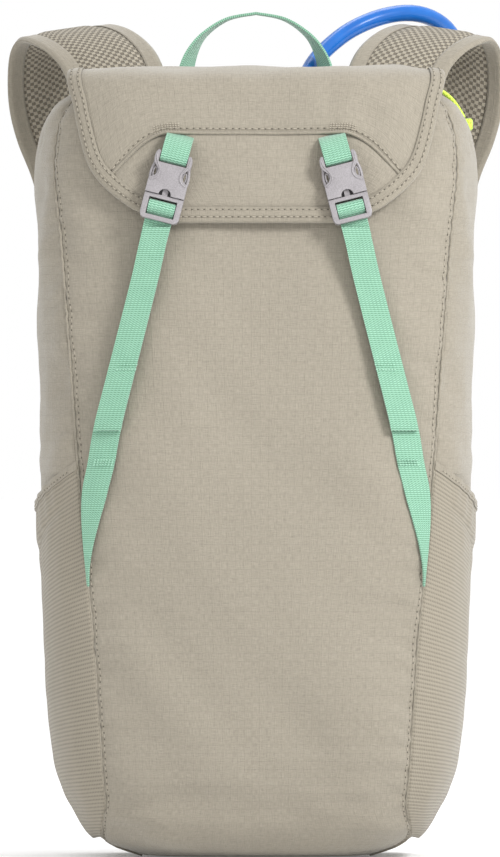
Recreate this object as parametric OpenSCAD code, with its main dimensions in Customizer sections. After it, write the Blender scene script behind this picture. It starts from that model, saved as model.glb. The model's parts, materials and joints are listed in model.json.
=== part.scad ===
// Hydration pack: drawcord throat, buckled lid, two side pockets, harness and drinking reservoir.
// The base stands on z = 0, the lid flap faces -Y and the harness faces +Y. Left is -X. Millimetres.

/* [Bag] */
// Height of the bag's walls above the base
bag_h = 424; // [400:1:440]
// Width of the bag at its widest
bag_w = 243; // [230:1:250]
// Reach of the front panel in front of the origin
front_reach = 90; // [85:1:96]
// Reach of the back panel behind the origin
back_reach = 70; // [70:1:71]
// Thickness of the shell fabric with its lining
shell_t = 1.2; // [1:0.1:1.4]

/* [Lid] */
// Height of the hinge seam above the base
hinge_z = 430; // [430:1:433]
// Height of the lid's lower edge above the base
lid_low_z = 351; // [348:1:353]
// Thickness of the padded lid
lid_t = 2.4; // [2:0.1:2.6]
// Width of the tape that binds the lid's edge
binding_w = 8; // [6:0.5:9]

/* [Webbing and buckles] */
// Width of the lid webbing
web_w = 15; // [14:0.5:15.5]
// Thickness of the webbing
web_t = 1.4; // [1.2:0.1:1.5]
// Lean of the lid buckles from upright, in degrees
buckle_lean = 14.3; // [12:0.1:16]
// Travel of a buckle plug out of its socket
release_travel = 22; // [20:1:24]

/* [Harness] */
// Width of a shoulder strap
strap_w = 56; // [52:1:60]
// Thickness of a shoulder strap
strap_t = 6; // [5:0.5:6]
// Height of the sternum strap above the base
sternum_z = 305; // [300:1:310]

/* [Hydration] */
// Outside diameter of the drinking tube
tube_d = 9.5; // [8:0.1:9.6]
// Width of the reservoir
bladder_w = 164; // [150:1:168]
// Height of the reservoir
bladder_h = 290; // [270:1:292]
// Radius of the reservoir's filler collar
collar_r = 42; // [38:1:42]

/* [Hidden] */
$fn = 48;

cloth = "#b3aa95";
mesh_cloth = "#a89e88";
mint = "#8fd3b0";
grey_plastic = "#a39ca0";
dark_plastic = "#3b3d40";
blue = "#1f6fd6";
lime = "#c4e34a";

fit_gap = 0.3;        // air between parts that move past each other
bag_round_front = 3.4; // squareness of the bag's section in front
bag_round_back = 5;    // squareness of the bag's section behind

// Share of the full half width, front reach and back reach at each share of the height
width_profile = [
    [0, .5], [.007, .58], [.0165, .675], [.035, .765], [.059, .815], [.092, .87], [.125, .905],
    [.2, .937], [.26, .948], [.42, .975], [.61, .99], [.8, 1], [.9, .99], [.94, .97], [.965, .94],
    [.985, .89], [1, .82],
];
front_profile = [
    [0, .58], [.014, .73], [.038, .84], [.075, .915], [.14, .97], [.26, 1], [.42, .98],
    [.61, .925], [.8, .84], [.94, .755], [1, .7],
];
back_profile = [[0, .84], [.014, .93], [.038, .975], [.075, 1], [1, 1]];
// Place of the seam between front and side panels, as a share of the half width, at each height
front_seam = [
    [0, .985], [8, .965], [20, .875], [33, .805], [53, .772], [75, .763], [111, .769], [150, .787], [219, .821], [292, .857],
    [342, .885], [381, .925], [424, .94],
];
back_seam = 45;

bottom_t = 2;
wall_rows = [
    bottom_t, 7, 15, 25, 39, 60, 110, 178, 259, 339, 382, 399, 409, 418, bag_h,
];

// ---------- mathematics ----------
function unit(v) = v / norm(v);
function flat(lists) = [for (l = lists) for (p = l) p];
function power(v, e) = sign(v) * pow(abs(v), e);
function spread(a, b, n) = [for (i = [0:n]) a + (b - a) * i / n];
function at_height(profile, z) = lookup(z / bag_h, profile);
function half_width(z) = bag_w / 2 * at_height(width_profile, z);
function front_at(z) = front_reach * at_height(front_profile, z);
function back_at(z) = back_reach * at_height(back_profile, z);

// Point of the bag's surface at angle u round the section, height z, moved in by inset
function bag_point(u, z, inset) =
    let (
        front = sin(u) < 0,
        e = 2 / (front ? bag_round_front : bag_round_back),
        a = half_width(z) - inset,
        b = (front ? front_at(z) : back_at(z)) - inset
    ) [a * power(cos(u), e), b * power(sin(u), e), z];

// Y of the bag's front surface at x and z, moved out by off
function front_y(x, z, off) =
    let (a = half_width(min(z, 400)) + off, n = bag_round_front)
    -(front_at(z) + off) * pow(1 - pow(min(abs(x) / a, .98), n), 1 / n);

// Smooth curve through points p, with k steps between neighbours
function curve_step(a, b, c, d, t) =
    (2 * b + (c - a) * t + (2 * a - 5 * b + 4 * c - d) * t * t + (3 * b - a - 3 * c + d) * t * t * t) / 2;
function smooth(p, k) = concat(
    [for (i = [0:len(p) - 2], j = [0:k - 1])
        curve_step(p[max(i - 1, 0)], p[i], p[i + 1], p[min(i + 2, len(p) - 1)], j / k)],
    [p[len(p) - 1]]
);

function tangent(p, i) = unit(p[min(i + 1, len(p) - 1)] - p[max(i - 1, 0)]);
// Frames [centre, across, up] along path p, with the across vectors near w
function frames(p, w) = [
    for (i = [0:len(p) - 1])
        let (t = tangent(p, i), up = unit(cross(t, w[i])))
        [p[i], cross(up, t), up]
];

// ---------- solids from points ----------
// Solid swept by an outline through frames
module sweep(outline, f) {
    n = len(outline);
    m = len(f);
    polyhedron(
        points = flat([for (g = f) [for (p = outline) g[0] + p[0] * g[1] + p[1] * g[2]]]),
        faces = concat(
            [for (i = [0:m - 2], j = [0:n - 1])
                let (a = i * n + j, b = i * n + (j + 1) % n) [a + n, b, a]],
            [for (i = [0:m - 2], j = [0:n - 1])
                let (a = i * n + j, b = i * n + (j + 1) % n) [a + n, b + n, b]],
            [[for (j = [0:n - 1]) j]],
            [[for (j = [n - 1:-1:0]) (m - 1) * n + j]]
        ),
        convexity = 6
    );
}

// Solid between two grids of the same size; the outer one's rows run up and columns to the right
module slab(outer, inner) {
    r = len(outer);
    c = len(outer[0]);
    o = function(i, j) i * c + j;
    q = function(i, j) r * c + i * c + j;
    polyhedron(
        points = concat(flat(outer), flat(inner)),
        faces = concat(
            [for (i = [0:r - 2], j = [0:c - 2]) [o(i, j), o(i + 1, j), o(i + 1, j + 1)]],
            [for (i = [0:r - 2], j = [0:c - 2]) [o(i, j), o(i + 1, j + 1), o(i, j + 1)]],
            [for (i = [0:r - 2], j = [0:c - 2]) [q(i, j), q(i + 1, j + 1), q(i + 1, j)]],
            [for (i = [0:r - 2], j = [0:c - 2]) [q(i, j), q(i, j + 1), q(i + 1, j + 1)]],
            [for (j = [0:c - 2]) [o(0, j), o(0, j + 1), q(0, j + 1), q(0, j)]],
            [for (j = [0:c - 2]) [o(r - 1, j + 1), o(r - 1, j), q(r - 1, j), q(r - 1, j + 1)]],
            [for (i = [0:r - 2]) [o(i + 1, 0), o(i, 0), q(i, 0), q(i + 1, 0)]],
            [for (i = [0:r - 2]) [o(i, c - 1), o(i + 1, c - 1), q(i + 1, c - 1), q(i, c - 1)]]
        ),
        convexity = 6
    );
}

// Grid moved along its normals
function grid_normal(g, i, j) =
    let (r = len(g) - 1, c = len(g[0]) - 1)
    unit(cross(
        g[i][min(j + 1, c)] - g[i][max(j - 1, 0)],
        g[min(i + 1, r)][j] - g[max(i - 1, 0)][j]
    ));
function moved(g, d) = [
    for (i = [0:len(g) - 1]) [for (j = [0:len(g[0]) - 1]) g[i][j] + d * grid_normal(g, i, j)]
];

function band(w, t) = [[-w / 2, -t / 2], [w / 2, -t / 2], [w / 2, t / 2], [-w / 2, t / 2]];
function round_outline(r, n) = [for (k = [0:n - 1]) r * [cos(360 * k / n), sin(360 * k / n)]];

module on_side(side) {
    if (side < 0) mirror([1, 0, 0]) children();
    else children();
}

// ---------- bag ----------
function wall_grid(from, to, columns, inset) = [
    for (z = wall_rows) [for (k = [0:columns])
        bag_point(from(z) + (to(z) - from(z)) * k / columns, z, inset)]
];
module wall(from, to, columns) {
    slab(wall_grid(from, to, columns, 0), wall_grid(from, to, columns, shell_t));
}
seam_r = function(z) -acos(pow(lookup(z, front_seam), bag_round_front / 2));
seam_l = function(z) -180 - seam_r(z);
back_r = function(z) back_seam;
back_l = function(z) 180 - back_seam;

module front_panel() color(cloth) wall(seam_l, seam_r, 14);
module side_panel(side) color(cloth) on_side(side) wall(seam_r, back_r, 8);

module bottom_panel() color(cloth) linear_extrude(bottom_t)
    polygon([for (u = spread(0, 352.5, 47)) let (p = bag_point(u, 0, 0)) [p[0], p[1]]]);

// The tube leaves the bag through this hole, high in the back
port = [28, 70, 408];
port_way = unit([0, .6, .8]);
module port_hole(r) translate(port) multmatrix(turn_z_to(port_way)) cylinder(r = r, h = 40, center = true);
function turn_z_to(d) =
    let (x = unit(cross([0, 1, 0], d)), y = cross(d, x))
    [[x[0], y[0], d[0], 0], [x[1], y[1], d[1], 0], [x[2], y[2], d[2], 0], [0, 0, 0, 1]];

module back_panel() color(cloth) difference() {
    wall(back_r, back_l, 10);
    port_hole(tube_d / 2 + .9);
}

pad_t = 8;
pad_low = 34;
pad_high = 396;
module back_pad() color(mesh_cloth) translate([0, back_reach + .2, 0]) rotate([-90, 0, 0])
    linear_extrude(pad_t) translate([0, -(pad_low + pad_high) / 2])
        offset(r = 24) square([104, pad_high - pad_low - 48], center = true);

// The throat sags inwards from the walls to the drawcord's tunnel: share of the section, drop
collar_rows = [[1, 0], [.9, 1.4], [.76, 5], [.66, 7.4]];
collar_t = .8;
collar_steps = 28;
function collar_point(share, u, z) =
    let (p = bag_point(u, bag_h, shell_t + .15)) [p[0] * share, p[1] * share, z];
function collar_grid(under, from, to) = [
    for (row = collar_rows) [for (k = [from:to])
        collar_point(row[0] - under * .008, 360 * k / collar_steps, bag_h - row[1] - under * collar_t)]
];
module throat_collar() color(cloth) for (half = [0, collar_steps / 2])
    slab(
        collar_grid(0, half, half + collar_steps / 2),
        collar_grid(1, half, half + collar_steps / 2)
    );

cord_d = 2.2;
lock_at = [70, 25, 425];
cord_in_lock = 9;
// The cord's tails climb from the tunnel through the lock, cross the wall's top and hang to the knot
tail_route = [
    [57, 32.5, 415.5], [59, 33, 420], [64, 33.8, 424.2], [70, 34, 425], [78, 34.8, 425.4], [89, 37, 426.4],
    [98, 39.5, 427], [104, 42.5, 425], [109.5, 45.5, 420.5], [113.5, 47.5, 415], [116, 48.8, 410.5],
];
knot_at = [117.5, 49.4, 406.8];
knot_r = 3.6;
module drawcord() color(lime) {
    loop = [for (u = spread(35, 380, 40)) collar_point(.655, u, bag_h - 9.6)];
    sweep(round_outline(cord_d / 2, 8), frames(loop, [for (q = loop) [0, 0, 1]]));
    for (s = [-1, 1]) {
        strand = [for (q = smooth(tail_route, 2)) q + s * (cord_d / 2 + .1) * [-.2, .98, 0]];
        sweep(round_outline(cord_d / 2, 8), frames(strand, [for (q = strand) [-.2, .98, .05]]));
    }
    translate(knot_at) scale([1, 1, 1.15]) sphere(r = knot_r, $fn = 24);
}

// Barrel lock that lies on the collar; its z axis runs along +Y from the closed end
lock_r = 4.6;
lock_l = 14;
plunger_r = 3.3;
press_travel = 3;
module at_lock() translate(lock_at) rotate([-90, 0, 0]) children();
module cord_slot(from, to) translate([-10, -1.5, from]) cube([20, 3, to - from]);
module cord_lock_body() color(dark_plastic) at_lock() difference() {
    cylinder(r = lock_r, h = lock_l);
    translate([0, 0, 1.2]) cylinder(r = plunger_r + .1, h = lock_l);
    cord_slot(cord_in_lock - 2.6, cord_in_lock + 2.6);
}
module cord_lock_plunger() color(dark_plastic) at_lock() difference() {
    translate([0, 0, 5.5]) cylinder(r = plunger_r, h = 12.5);
    cord_slot(cord_in_lock - 2.6, cord_in_lock + 2.6 + press_travel);
}
module cord_lock_spring() color("silver") {
    turns = 3;
    steps = 12;
    route = [for (k = [0:turns * steps])
        [2.4 * cos(360 * k / steps), 2.4 * sin(360 * k / steps), 1.7 + 3.3 * k / (turns * steps)]];
    at_lock() sweep(round_outline(.35, 6), frames(route, [for (q = route) [0, 0, 1]]));
}

// ---------- side pockets ----------
pocket_gap = .5;
pocket_t = 1.2;
pocket_z = [15, 25, 39, 60, 84, 110, 145, 178];
pocket_columns = 8;
// Top edge of the pocket: high at the front seam, lower behind
function pocket_top(share) = 219 - 24 * sin(90 * min(1, share * 1.3));
// The mouth stands open behind the middle, where a bottle goes
function pocket_slack(share) = 7.6 * pow(sin(180 * pow(share, 1.5)), 1.2);
function pocket_grid(out) = [
    for (i = [0:len(pocket_z)]) [for (k = [0:pocket_columns])
        let (
            share = k / pocket_columns,
            z = i < len(pocket_z) ? pocket_z[i] : pocket_top(share),
            u = seam_r(z) + (back_seam - seam_r(z)) * share,
            slack = pocket_slack(share) * min(1, max(0, z - 25) / 90)
        )
        bag_point(u, z, -out - slack)]
];
module side_pocket(side) color(mesh_cloth) on_side(side)
    slab(pocket_grid(pocket_gap + pocket_t), pocket_grid(pocket_gap));
module pocket_hem(side) color(cloth) on_side(side) {
    top = smooth(pocket_grid(pocket_gap + pocket_t + 1)[len(pocket_z)], 2);
    inner = [for (k = [1:len(top) - 2]) top[k] - [0, 0, 3]];
    sweep(band(5, .8), frames(inner, [for (q = inner) [0, 0, 1]]));
}

// ---------- lid ----------
lid_gap = 1.2;
// Rows of the lid from hinge to lower edge: y, z, half width, share of the front's curvature
lid_rows = [
    [69, hinge_z, 98, 0], [52, hinge_z + 1.6, 99, 0], [32, hinge_z + 3, 100, 0],
    [8, hinge_z + 4.2, 101, 0], [-16, hinge_z + 4.8, 102, .1], [-38, hinge_z + 4.6, 102.5, .35],
    [-54, hinge_z + 2.4, 103, .7], [-63.5, hinge_z - 3, 102.5, 1],
    [-66.5, 416, 99.5, 1], [-69, 401, 96.5, 1], [-72, 383, 91.5, 1], [-74, 372, 84, 1],
    [-75.8, 362, 72.5, 1], [-76.8, 356, 62, 1], [-77.4, lid_low_z, 45, 1],
];
lid_split = 9;
function lid_point(row, w) =
    let (
        x = w * row[2],
        bow = 68 * (1 - pow(1 - pow(abs(x) / 126, bag_round_front), 1 / bag_round_front)),
        drop = 1.6 * w * w + 1.6 * pow(w, 8)
    )
    [x, row[0] + row[3] * bow - lid_gap, row[1] - (1 - row[3]) * drop];
function lid_grid(from, to) = [
    for (i = [to:-1:from]) [for (w = spread(-1, 1, 16)) lid_point(lid_rows[i], w)]
];
function lid_part(d, from, to) =
    let (all = moved(lid_grid(0, len(lid_rows) - 1), d), last = len(lid_rows) - 1)
    [for (i = [last - to:last - from]) all[i]];

module lid_top_panel() color(cloth)
    slab(lid_part(lid_t, 0, lid_split), lid_part(0, 0, lid_split));
module lid_front_panel() color(cloth)
    slab(
        lid_part(lid_t, lid_split, len(lid_rows) - 1),
        lid_part(0, lid_split, len(lid_rows) - 1)
    );
module lid_binding() color(cloth) {
    top = lid_part(lid_t + .5, 0, len(lid_rows) - 1);
    last = len(top) - 1;
    edge = concat(
        [for (i = [last:-1:1]) top[i][0]],
        [for (j = [0:2:16]) top[0][j]],
        [for (i = [1:last]) top[i][16]]
    );
    ups = [for (i = [0:len(edge) - 1])
        let (q = edge[i]) unit([q[0] * .0035, q[2] > 428 ? -.15 : -1, q[2] > 428 ? 1 : .12])];
    way = [for (i = [0:len(edge) - 1]) cross(ups[i], tangent(edge, i))];
    inside = [for (i = [0:len(edge) - 1]) edge[i] + way[i] * binding_w / 2 + ups[i] * .4];
    sweep(band(binding_w, .8), frames(inside, way));
}

// ---------- lid buckles ----------
// Centre of the buckle's mouth, in front of the lid
buckle_at = [50.3, -80.5, 364.4];
buckle_pitch = 6.8;
module at_buckle(side) on_side(side) translate(buckle_at) rotate([-buckle_pitch, 0, 0])
    rotate([0, -buckle_lean, 0]) children();

// Side release buckle for 15 mm webbing: x across, z along, y = 0 at its back, mouth at z = 0
socket_l = 24;
buckle_t = 7;
mouth_w = 22;
module socket_outline() {
    translate([-mouth_w / 2, 0]) square([mouth_w, 6.4]);
    right = [
        [11, 6.4], [10.6, 8], [8.2, 9.4], [7, 11.2], [7, 13.4], [8.4, 15.2], [10, 17], [10.5, 19.4],
        [10.2, 22.4], [9.2, socket_l], [8.1, socket_l - .2],
    ];
    polygon(concat(right, [for (k = [len(right) - 1:-1:0]) [-right[k][0], right[k][1]]]));
}
module upright(h) rotate([90, 0, 0]) linear_extrude(h) children();
module buckle_socket_shape() difference() {
    union() {
        upright(buckle_t) socket_outline();
        // Rails beside the windows keep the plug's arms in
        for (s = [-1, 1]) translate([s * 9.6 - .8, -buckle_t + 2.6, 6]) cube([1.6, 1.8, 13]);
    }
    // Hollow for the plug's arms
    translate([-9.3, -5.4, -1]) cube([18.6, 3.8, 9]);
    translate([-5.9, -5.4, 7]) cube([11.8, 3.8, 8]);
    for (s = [-1, 1]) translate([s * 7 - 3.4, -5.4, 7]) cube([6.8, 3.8, 8.5]);
    // Notch in the front of the mouth
    translate([0, -4.6, 0]) rotate([90, 0, 0]) cylinder(r = 3.4, h = 5);
    // Webbing slot, and the space round the bar beyond it
    translate([-7.9, -10, 17.4]) cube([15.8, 12, 3.2]);
    translate([-7.9, -10, 22.6]) cube([15.8, 12, 3]);
    translate([-7.9, -10, 20]) cube([15.8, 5.3, 4]);
    translate([-7.9, -2.5, 20]) cube([15.8, 5.3, 4]);
}
module buckle_plug_shape() {
    // Frame with the webbing's window and centre bar
    difference() {
        union() {
            upright(buckle_t - 1) polygon([
                [-11, -.4], [11, -.4], [11, -11.6], [10.2, -13.6], [8.6, -14.4], [-8.6, -14.4],
                [-10.2, -13.6], [-11, -11.6],
            ]);
        }
        translate([-7.9, -10, -12]) cube([15.8, 12, 9.6]);
        translate([-7.9, -2.1, -15]) cube([15.8, 4, 4.5]);
    }
    translate([-8.4, -4.4, -7.8]) cube([16.8, 1.9, 2.1]);
    // Guide tongue and the two sprung arms
    translate([-1.6, -5, -.6]) cube([3.2, 3, 13.4]);
    for (s = [-1, 1]) scale([s, 1, 1]) translate([0, -2, 0]) upright(3) polygon([
        [5.3, -.6], [8, -.6], [8.6, 5.4], [9, 7.2], [8.2, 9.6], [7.2, 12.4], [6.2, 13.8],
        [5, 13.6], [5.6, 9],
    ]);
}
module buckle_socket(side) color(grey_plastic) at_buckle(side) buckle_socket_shape();
module buckle_plug(side) color(grey_plastic) at_buckle(side) buckle_plug_shape();

// Short webbing loop from the lid's seam round the socket's bar; y of the buckle's back is 0
lid_loop = [
    [.6, 39], [.2, 33], [-.6, 27], [-1.1, 23], [-1.2, 20.8], [-2.1, 19.2], [-3.6, 18.8],
    [-5.2, 19.4], [-6.1, 21], [-6.1, 23.4], [-5, 28], [-2.6, 34], [-1.3, 37], [-1, 39],
];
module web_loop(route, width) {
    p = [for (q = route) [0, q[0], q[1]]];
    sweep(band(width, web_t), frames(p, [for (q = p) [-1, 0, 0]]));
}
module lid_strap(side) color(mint) at_buckle(side) web_loop(lid_loop, web_w);

// Webbing that is sewn into the side seam, climbs to the buckle and hangs down again as a tail.
// Each row of the standing part: height, inner edge, outer edge, distance off the panel
seam_rows = [
    [150, 91, 92, 1.2], [160, 89, 93.6, 1.3], [172, 86, 95, 1.4], [186, 82.4, 96, 1.5],
    [197, 80.3, 95.5, 1.5], [218, 77.6, 92.6, 1.5], [236, 74.4, 89.4, 1.4], [260, 68.5, 83.5, 1.4],
    [290, 60.9, 75.9, 2], [320, 53.4, 68.4, 5], [337, 49.6, 64.6, 8.4], [342, 48.4, 63.4, 9.2],
];
// The tail's rows in front of it, folded double at the low end
tail_rows = [
    [236, 74.4, 89.4, 3.1], [237, 74.2, 89.2, 6], [270, 66, 81, 5.4], [290, 60.9, 75.9, 5.6],
    [320, 53.4, 68.4, 9.4], [337, 49.6, 64.6, 13], [342, 48.4, 63.4, 13.8],
];
function edge_grid(rows, off) = [
    for (r = rows) [
        [r[1], front_y(r[1], r[0], r[3] + off), r[0]], [r[2], front_y(r[2], r[0], r[3] + off), r[0]]
    ]
];
// Loop over the plug's bar: y and z in the buckle's frame
plug_loop = [
    [-.2, -24], [-.4, -18], [-.8, -12], [-1.2, -8], [-1.5, -5.4], [-2.6, -4], [-4.1, -4],
    [-5.3, -5.2], [-6.2, -8], [-6.9, -11], [-7.1, -14], [-6.6, -18], [-5.6, -24],
];
module front_strap(side) color(mint) {
    on_side(side) for (rows = [seam_rows, tail_rows]) slab(edge_grid(rows, web_t), edge_grid(rows, 0));
    at_buckle(side) web_loop(plug_loop, web_w);
}

// ---------- inside ----------
sleeve_y = 8;
sleeve_share = .84; // of the bag's half width
// Place of the back panel's inner face at share k of the half width
function inside_back(k, z) = (back_at(z) - shell_t) * pow(1 - pow(k, bag_round_back), 1 / bag_round_back);
function sleeve_grid(d) = [
    for (z = [40, 70, 110, 160, 205, 232]) [for (k = spread(-1, 1, 14))
        let (edge_y = inside_back(sleeve_share, z) - 2)
        [k * (sleeve_share * half_width(z) - d), sleeve_y + d + (edge_y - sleeve_y - d) * pow(abs(k), 14), z]]
];
module hydration_sleeve() color(cloth) slab(sleeve_grid(0), sleeve_grid(.9));

bladder_t = 32;
bladder_y = 46;
bladder_z = 44 + bladder_h / 2;
film_t = 1.2;
function pillow(side, w, h, t, rim) = [for (k = spread(-1, 1, 14)) [for (j = spread(-1, 1, 12))
    let (swell = sqrt(max(0, 1 - pow(abs(j), 4)) * max(0, 1 - pow(abs(k), 6))))
    [j * w / 2, bladder_y + side * (rim / 2 + (t - rim) / 2 * swell), bladder_z + k * h / 2]]];
module reservoir_bladder() color("#cfe0f2") difference() {
    slab(pillow(-1, bladder_w, bladder_h, bladder_t, 2.4), pillow(1, bladder_w, bladder_h, bladder_t, 2.4));
    slab(
        pillow(-1, bladder_w - 14, bladder_h - 14, bladder_t - 2 * film_t, .8),
        pillow(1, bladder_w - 14, bladder_h - 14, bladder_t - 2 * film_t, .8)
    );
    at_filler() translate([0, 0, -12]) cylinder(r = collar_r + fit_gap, h = 20);
    translate([0, bladder_y - 6, outlet_z]) rotate([90, 0, 0]) cylinder(r = 7.3, h = 20);
}

filler_z = 262;
// The filler's axis points out of the bag's front, from the film at z = 0
module at_filler() translate([0, 32, filler_z]) rotate([90, 0, 0]) children();
module reservoir_collar() color(blue) at_filler() difference() {
    translate([0, 0, -4]) cylinder(r = collar_r, h = 16);
    translate([0, 0, -5]) cylinder(r = collar_r - 6, h = 18);
}
module reservoir_seal() color("#e8e8e0") at_filler() difference() {
    translate([0, 0, 12.1]) cylinder(r = collar_r - .8, h = 1.8);
    translate([0, 0, 12]) cylinder(r = collar_r - 5, h = 3);
}
module reservoir_cap() color(blue) at_filler() {
    difference() {
        union() {
            translate([0, 0, 5]) cylinder(r = collar_r + 2.6, h = 13);
            for (a = [15:30:345]) rotate([0, 0, a]) translate([collar_r + 3, 0, 11.5])
                cube([3.2, 4, 13], center = true);
        }
        translate([0, 0, 4]) cylinder(r = collar_r + fit_gap, h = 10);
        translate([0, 0, 16.4]) cylinder(r = collar_r - 6, h = 3);
    }
    // Grip across the cap
    translate([-collar_r + 8, -2.5, 16.2]) cube([2 * collar_r - 16, 5, 3.6]);
}
module reservoir_handle() color(blue) translate([0, 32.2, 0]) upright(5) difference() {
    polygon([
        [-30, 311], [30, 311], [31, 330], [29, 352], [22, 362], [10, 366], [-10, 366],
        [-22, 362], [-29, 352], [-31, 330],
    ]);
    polygon([
        [-21, 330], [21, 330], [22, 340], [20, 351], [12, 356], [-12, 356], [-20, 351], [-22, 340],
    ]);
}
module reservoir_hanger() color(dark_plastic) {
    p = [[0, 67.3, 396], [0, 64, 384], [0, 50, 368], [0, 40, 353.8], [0, 32.4, 351], [0, 25.4, 354],
         [0, 24.4, 361], [0, 25.4, 368], [0, 40, 376], [0, 56, 388], [0, 64.6, 400], [0, 67.3, 408]];
    sweep(band(16, web_t), frames(smooth(p, 2), [for (q = smooth(p, 2)) [-1, 0, 0]]));
}

outlet_z = 84;
module outlet_fitting() color(blue) translate([0, 0, outlet_z]) rotate([90, 0, 0]) difference() {
    union() {
        translate([0, 0, -(bladder_y - 8)]) cylinder(r = 7, h = 16);
        translate([0, 0, -29.6]) cylinder(r = 11, h = 1.6);
    }
    translate([0, 0, -(bladder_y - 7)]) cylinder(r = 3.2, h = 22);
}
// Elbow that plugs on the outlet and takes the tube
module quick_link() color(grey_plastic) difference() {
    union() {
        translate([0, 21.7, outlet_z]) rotate([90, 0, 0]) cylinder(r = 6.4, h = 9.9);
        translate([0, 15.2, outlet_z - 9]) cylinder(r = 6.2, h = 28);
    }
    translate([0, 22, outlet_z]) rotate([90, 0, 0]) cylinder(r = 3.2, h = 7);
    translate([0, 15.2, outlet_z]) cylinder(r = 3.2, h = 20);
    translate([0, 15.2, outlet_z - 10]) cylinder(r = 3.7, h = 5.4);
}
module quick_link_button() color(blue) translate([0, 15.2, outlet_z - 11.5])
    cylinder(r = 3.6, h = 4.4);

// ---------- drinking tube ----------
// Centre line from the quick link, up inside the bag, out of the port and down the right strap
tube_route = [
    [0, 15.2, 103], [1, 15, 116], [8, 15, 134], [22, 15, 155], [38, 15, 178], [50, 15, 206],
    [56, 16, 238], [57, 18, 270], [55, 22, 302], [50, 30, 334], [41, 43, 366], [32, 58, 392],
    [28, 70, 408], [28, 80, 421], [28.2, 92.4, 432], [32.2, 104.4, 442], [41, 115, 452], [54, 125, 462],
    [71, 134, 469.4], [88, 144, 471.8], [102, 156, 468], [112, 168, 458], [116, 176, 441],
    [114, 179.5, 420], [108, 181, 398], [101, 181.2, 376], [96, 181.2, 352], [96, 181.2, 326],
    [96, 181.4, 300], [97, 182.4, 274], [99, 184, 248], [101, 185, 226],
];
function tube_frames(p) = frames(p, [for (q = p) [.9, -.35, .25]]);
module drink_tube() color(blue)
    sweep(round_outline(tube_d / 2, 10), tube_frames(smooth(tube_route, 2)));

// The valve carries on straight from the tube's end: z = 0 there, pointing away
tube_end = tube_route[len(tube_route) - 1];
end_way = unit(tube_end - tube_route[len(tube_route) - 2]);
module at_valve() translate(tube_end) multmatrix(turn_z_to(end_way)) children();
module bite_valve_body() color(dark_plastic) at_valve() difference() {
    union() {
        cylinder(r = 6.4, h = 14);
        translate([0, 0, 14]) cylinder(r = 8.5, h = 14);
        translate([0, 0, 28]) cylinder(r = 5.4, h = 8);
    }
    translate([0, 0, -1]) cylinder(r = 2.6, h = 40);
    translate([0, 0, 21]) rotate([90, 0, 0]) cylinder(r = 4.4, h = 30, center = true);
}
module valve_lever() color(blue) at_valve() translate([0, 0, 21]) rotate([90, 0, 0]) {
    difference() {
        cylinder(r = 4.1, h = 18.6, center = true);
        rotate([90, 0, 0]) cylinder(r = 2.4, h = 12, center = true);
    }
    for (s = [-1, 1]) translate([0, 0, s * 10 - .8]) cylinder(r = 5.4, h = 1.6);
    translate([2, -4, 9.2]) cube([13, 8, 1.6]);
}
module bite_piece() color("#6fb7ef") at_valve() translate([0, 0, 30]) difference() {
    union() {
        cylinder(r = 7.4, h = 8);
        translate([0, 0, 8]) cylinder(r1 = 7.4, r2 = 6.2, h = 6);
        translate([0, 0, 14]) cylinder(r = 9, h = 9);
    }
    translate([0, 0, -1]) cylinder(r = 5.5, h = 7.2);
    translate([0, 0, 5]) cylinder(r = 3.4, h = 15);
}

// ---------- harness ----------
// Inner and outer edges of the right strap from the yoke over the shoulder to its lower end
strap_edges = [
    [[48, 74.4, 400], [103, 74.4, 399]], [[49, 74.8, 416], [103, 74.8, 414]],
    [[51, 83, 433], [104.5, 80.5, 429]], [[57, 97, 448], [109, 88.5, 440]],
    [[67, 114, 458.5], [117, 97.5, 448.5]], [[77, 129, 463], [126, 108, 454]],
    [[85, 143, 463.4], [133.5, 120, 455.5]], [[90, 155, 459], [138, 132, 448.5]],
    [[91, 163.5, 450], [139.5, 142.5, 434]], [[89, 169, 434], [138.5, 150.5, 417]],
    [[83, 172.5, 410], [134, 157.5, 399]], [[73, 173.5, 382], [125.5, 164.5, 377]],
    [[64, 172.4, 352], [119.5, 170.8, 350]], [[62, 172, 330], [118, 172, 330]],
    [[62, 172, 296], [118, 172, 296]], [[63, 171.6, 262], [117, 171.6, 262]],
    [[68, 164, 226], [112, 164, 226]], [[75, 149, 192], [105, 149, 192]],
];
strap_outline = [
    [-strap_w / 2, -.8], [-strap_w / 2 + 3, -strap_t / 2], [strap_w / 2 - 3, -strap_t / 2],
    [strap_w / 2, -.8], [strap_w / 2, .8], [strap_w / 2 - 3, strap_t / 2],
    [-strap_w / 2 + 3, strap_t / 2], [-strap_w / 2, .8],
];
module shoulder_strap(side) color(mesh_cloth) on_side(side) {
    inner = smooth([for (e = strap_edges) e[0]], 2);
    outer = smooth([for (e = strap_edges) e[1]], 2);
    middle = (inner + outer) / 2;
    sweep(strap_outline, [
        for (i = [0:len(middle) - 1])
            let (w = outer[i] - inner[i]) [middle[i], w / strap_w, unit(cross(tangent(middle, i), w))]
    ]);
}
module harness_yoke() color(cloth) for (side = [-1, 1]) on_side(side)
    translate([34.5, back_reach + 8.4, 397]) cube([70, 1.2, 10.5]);

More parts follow.
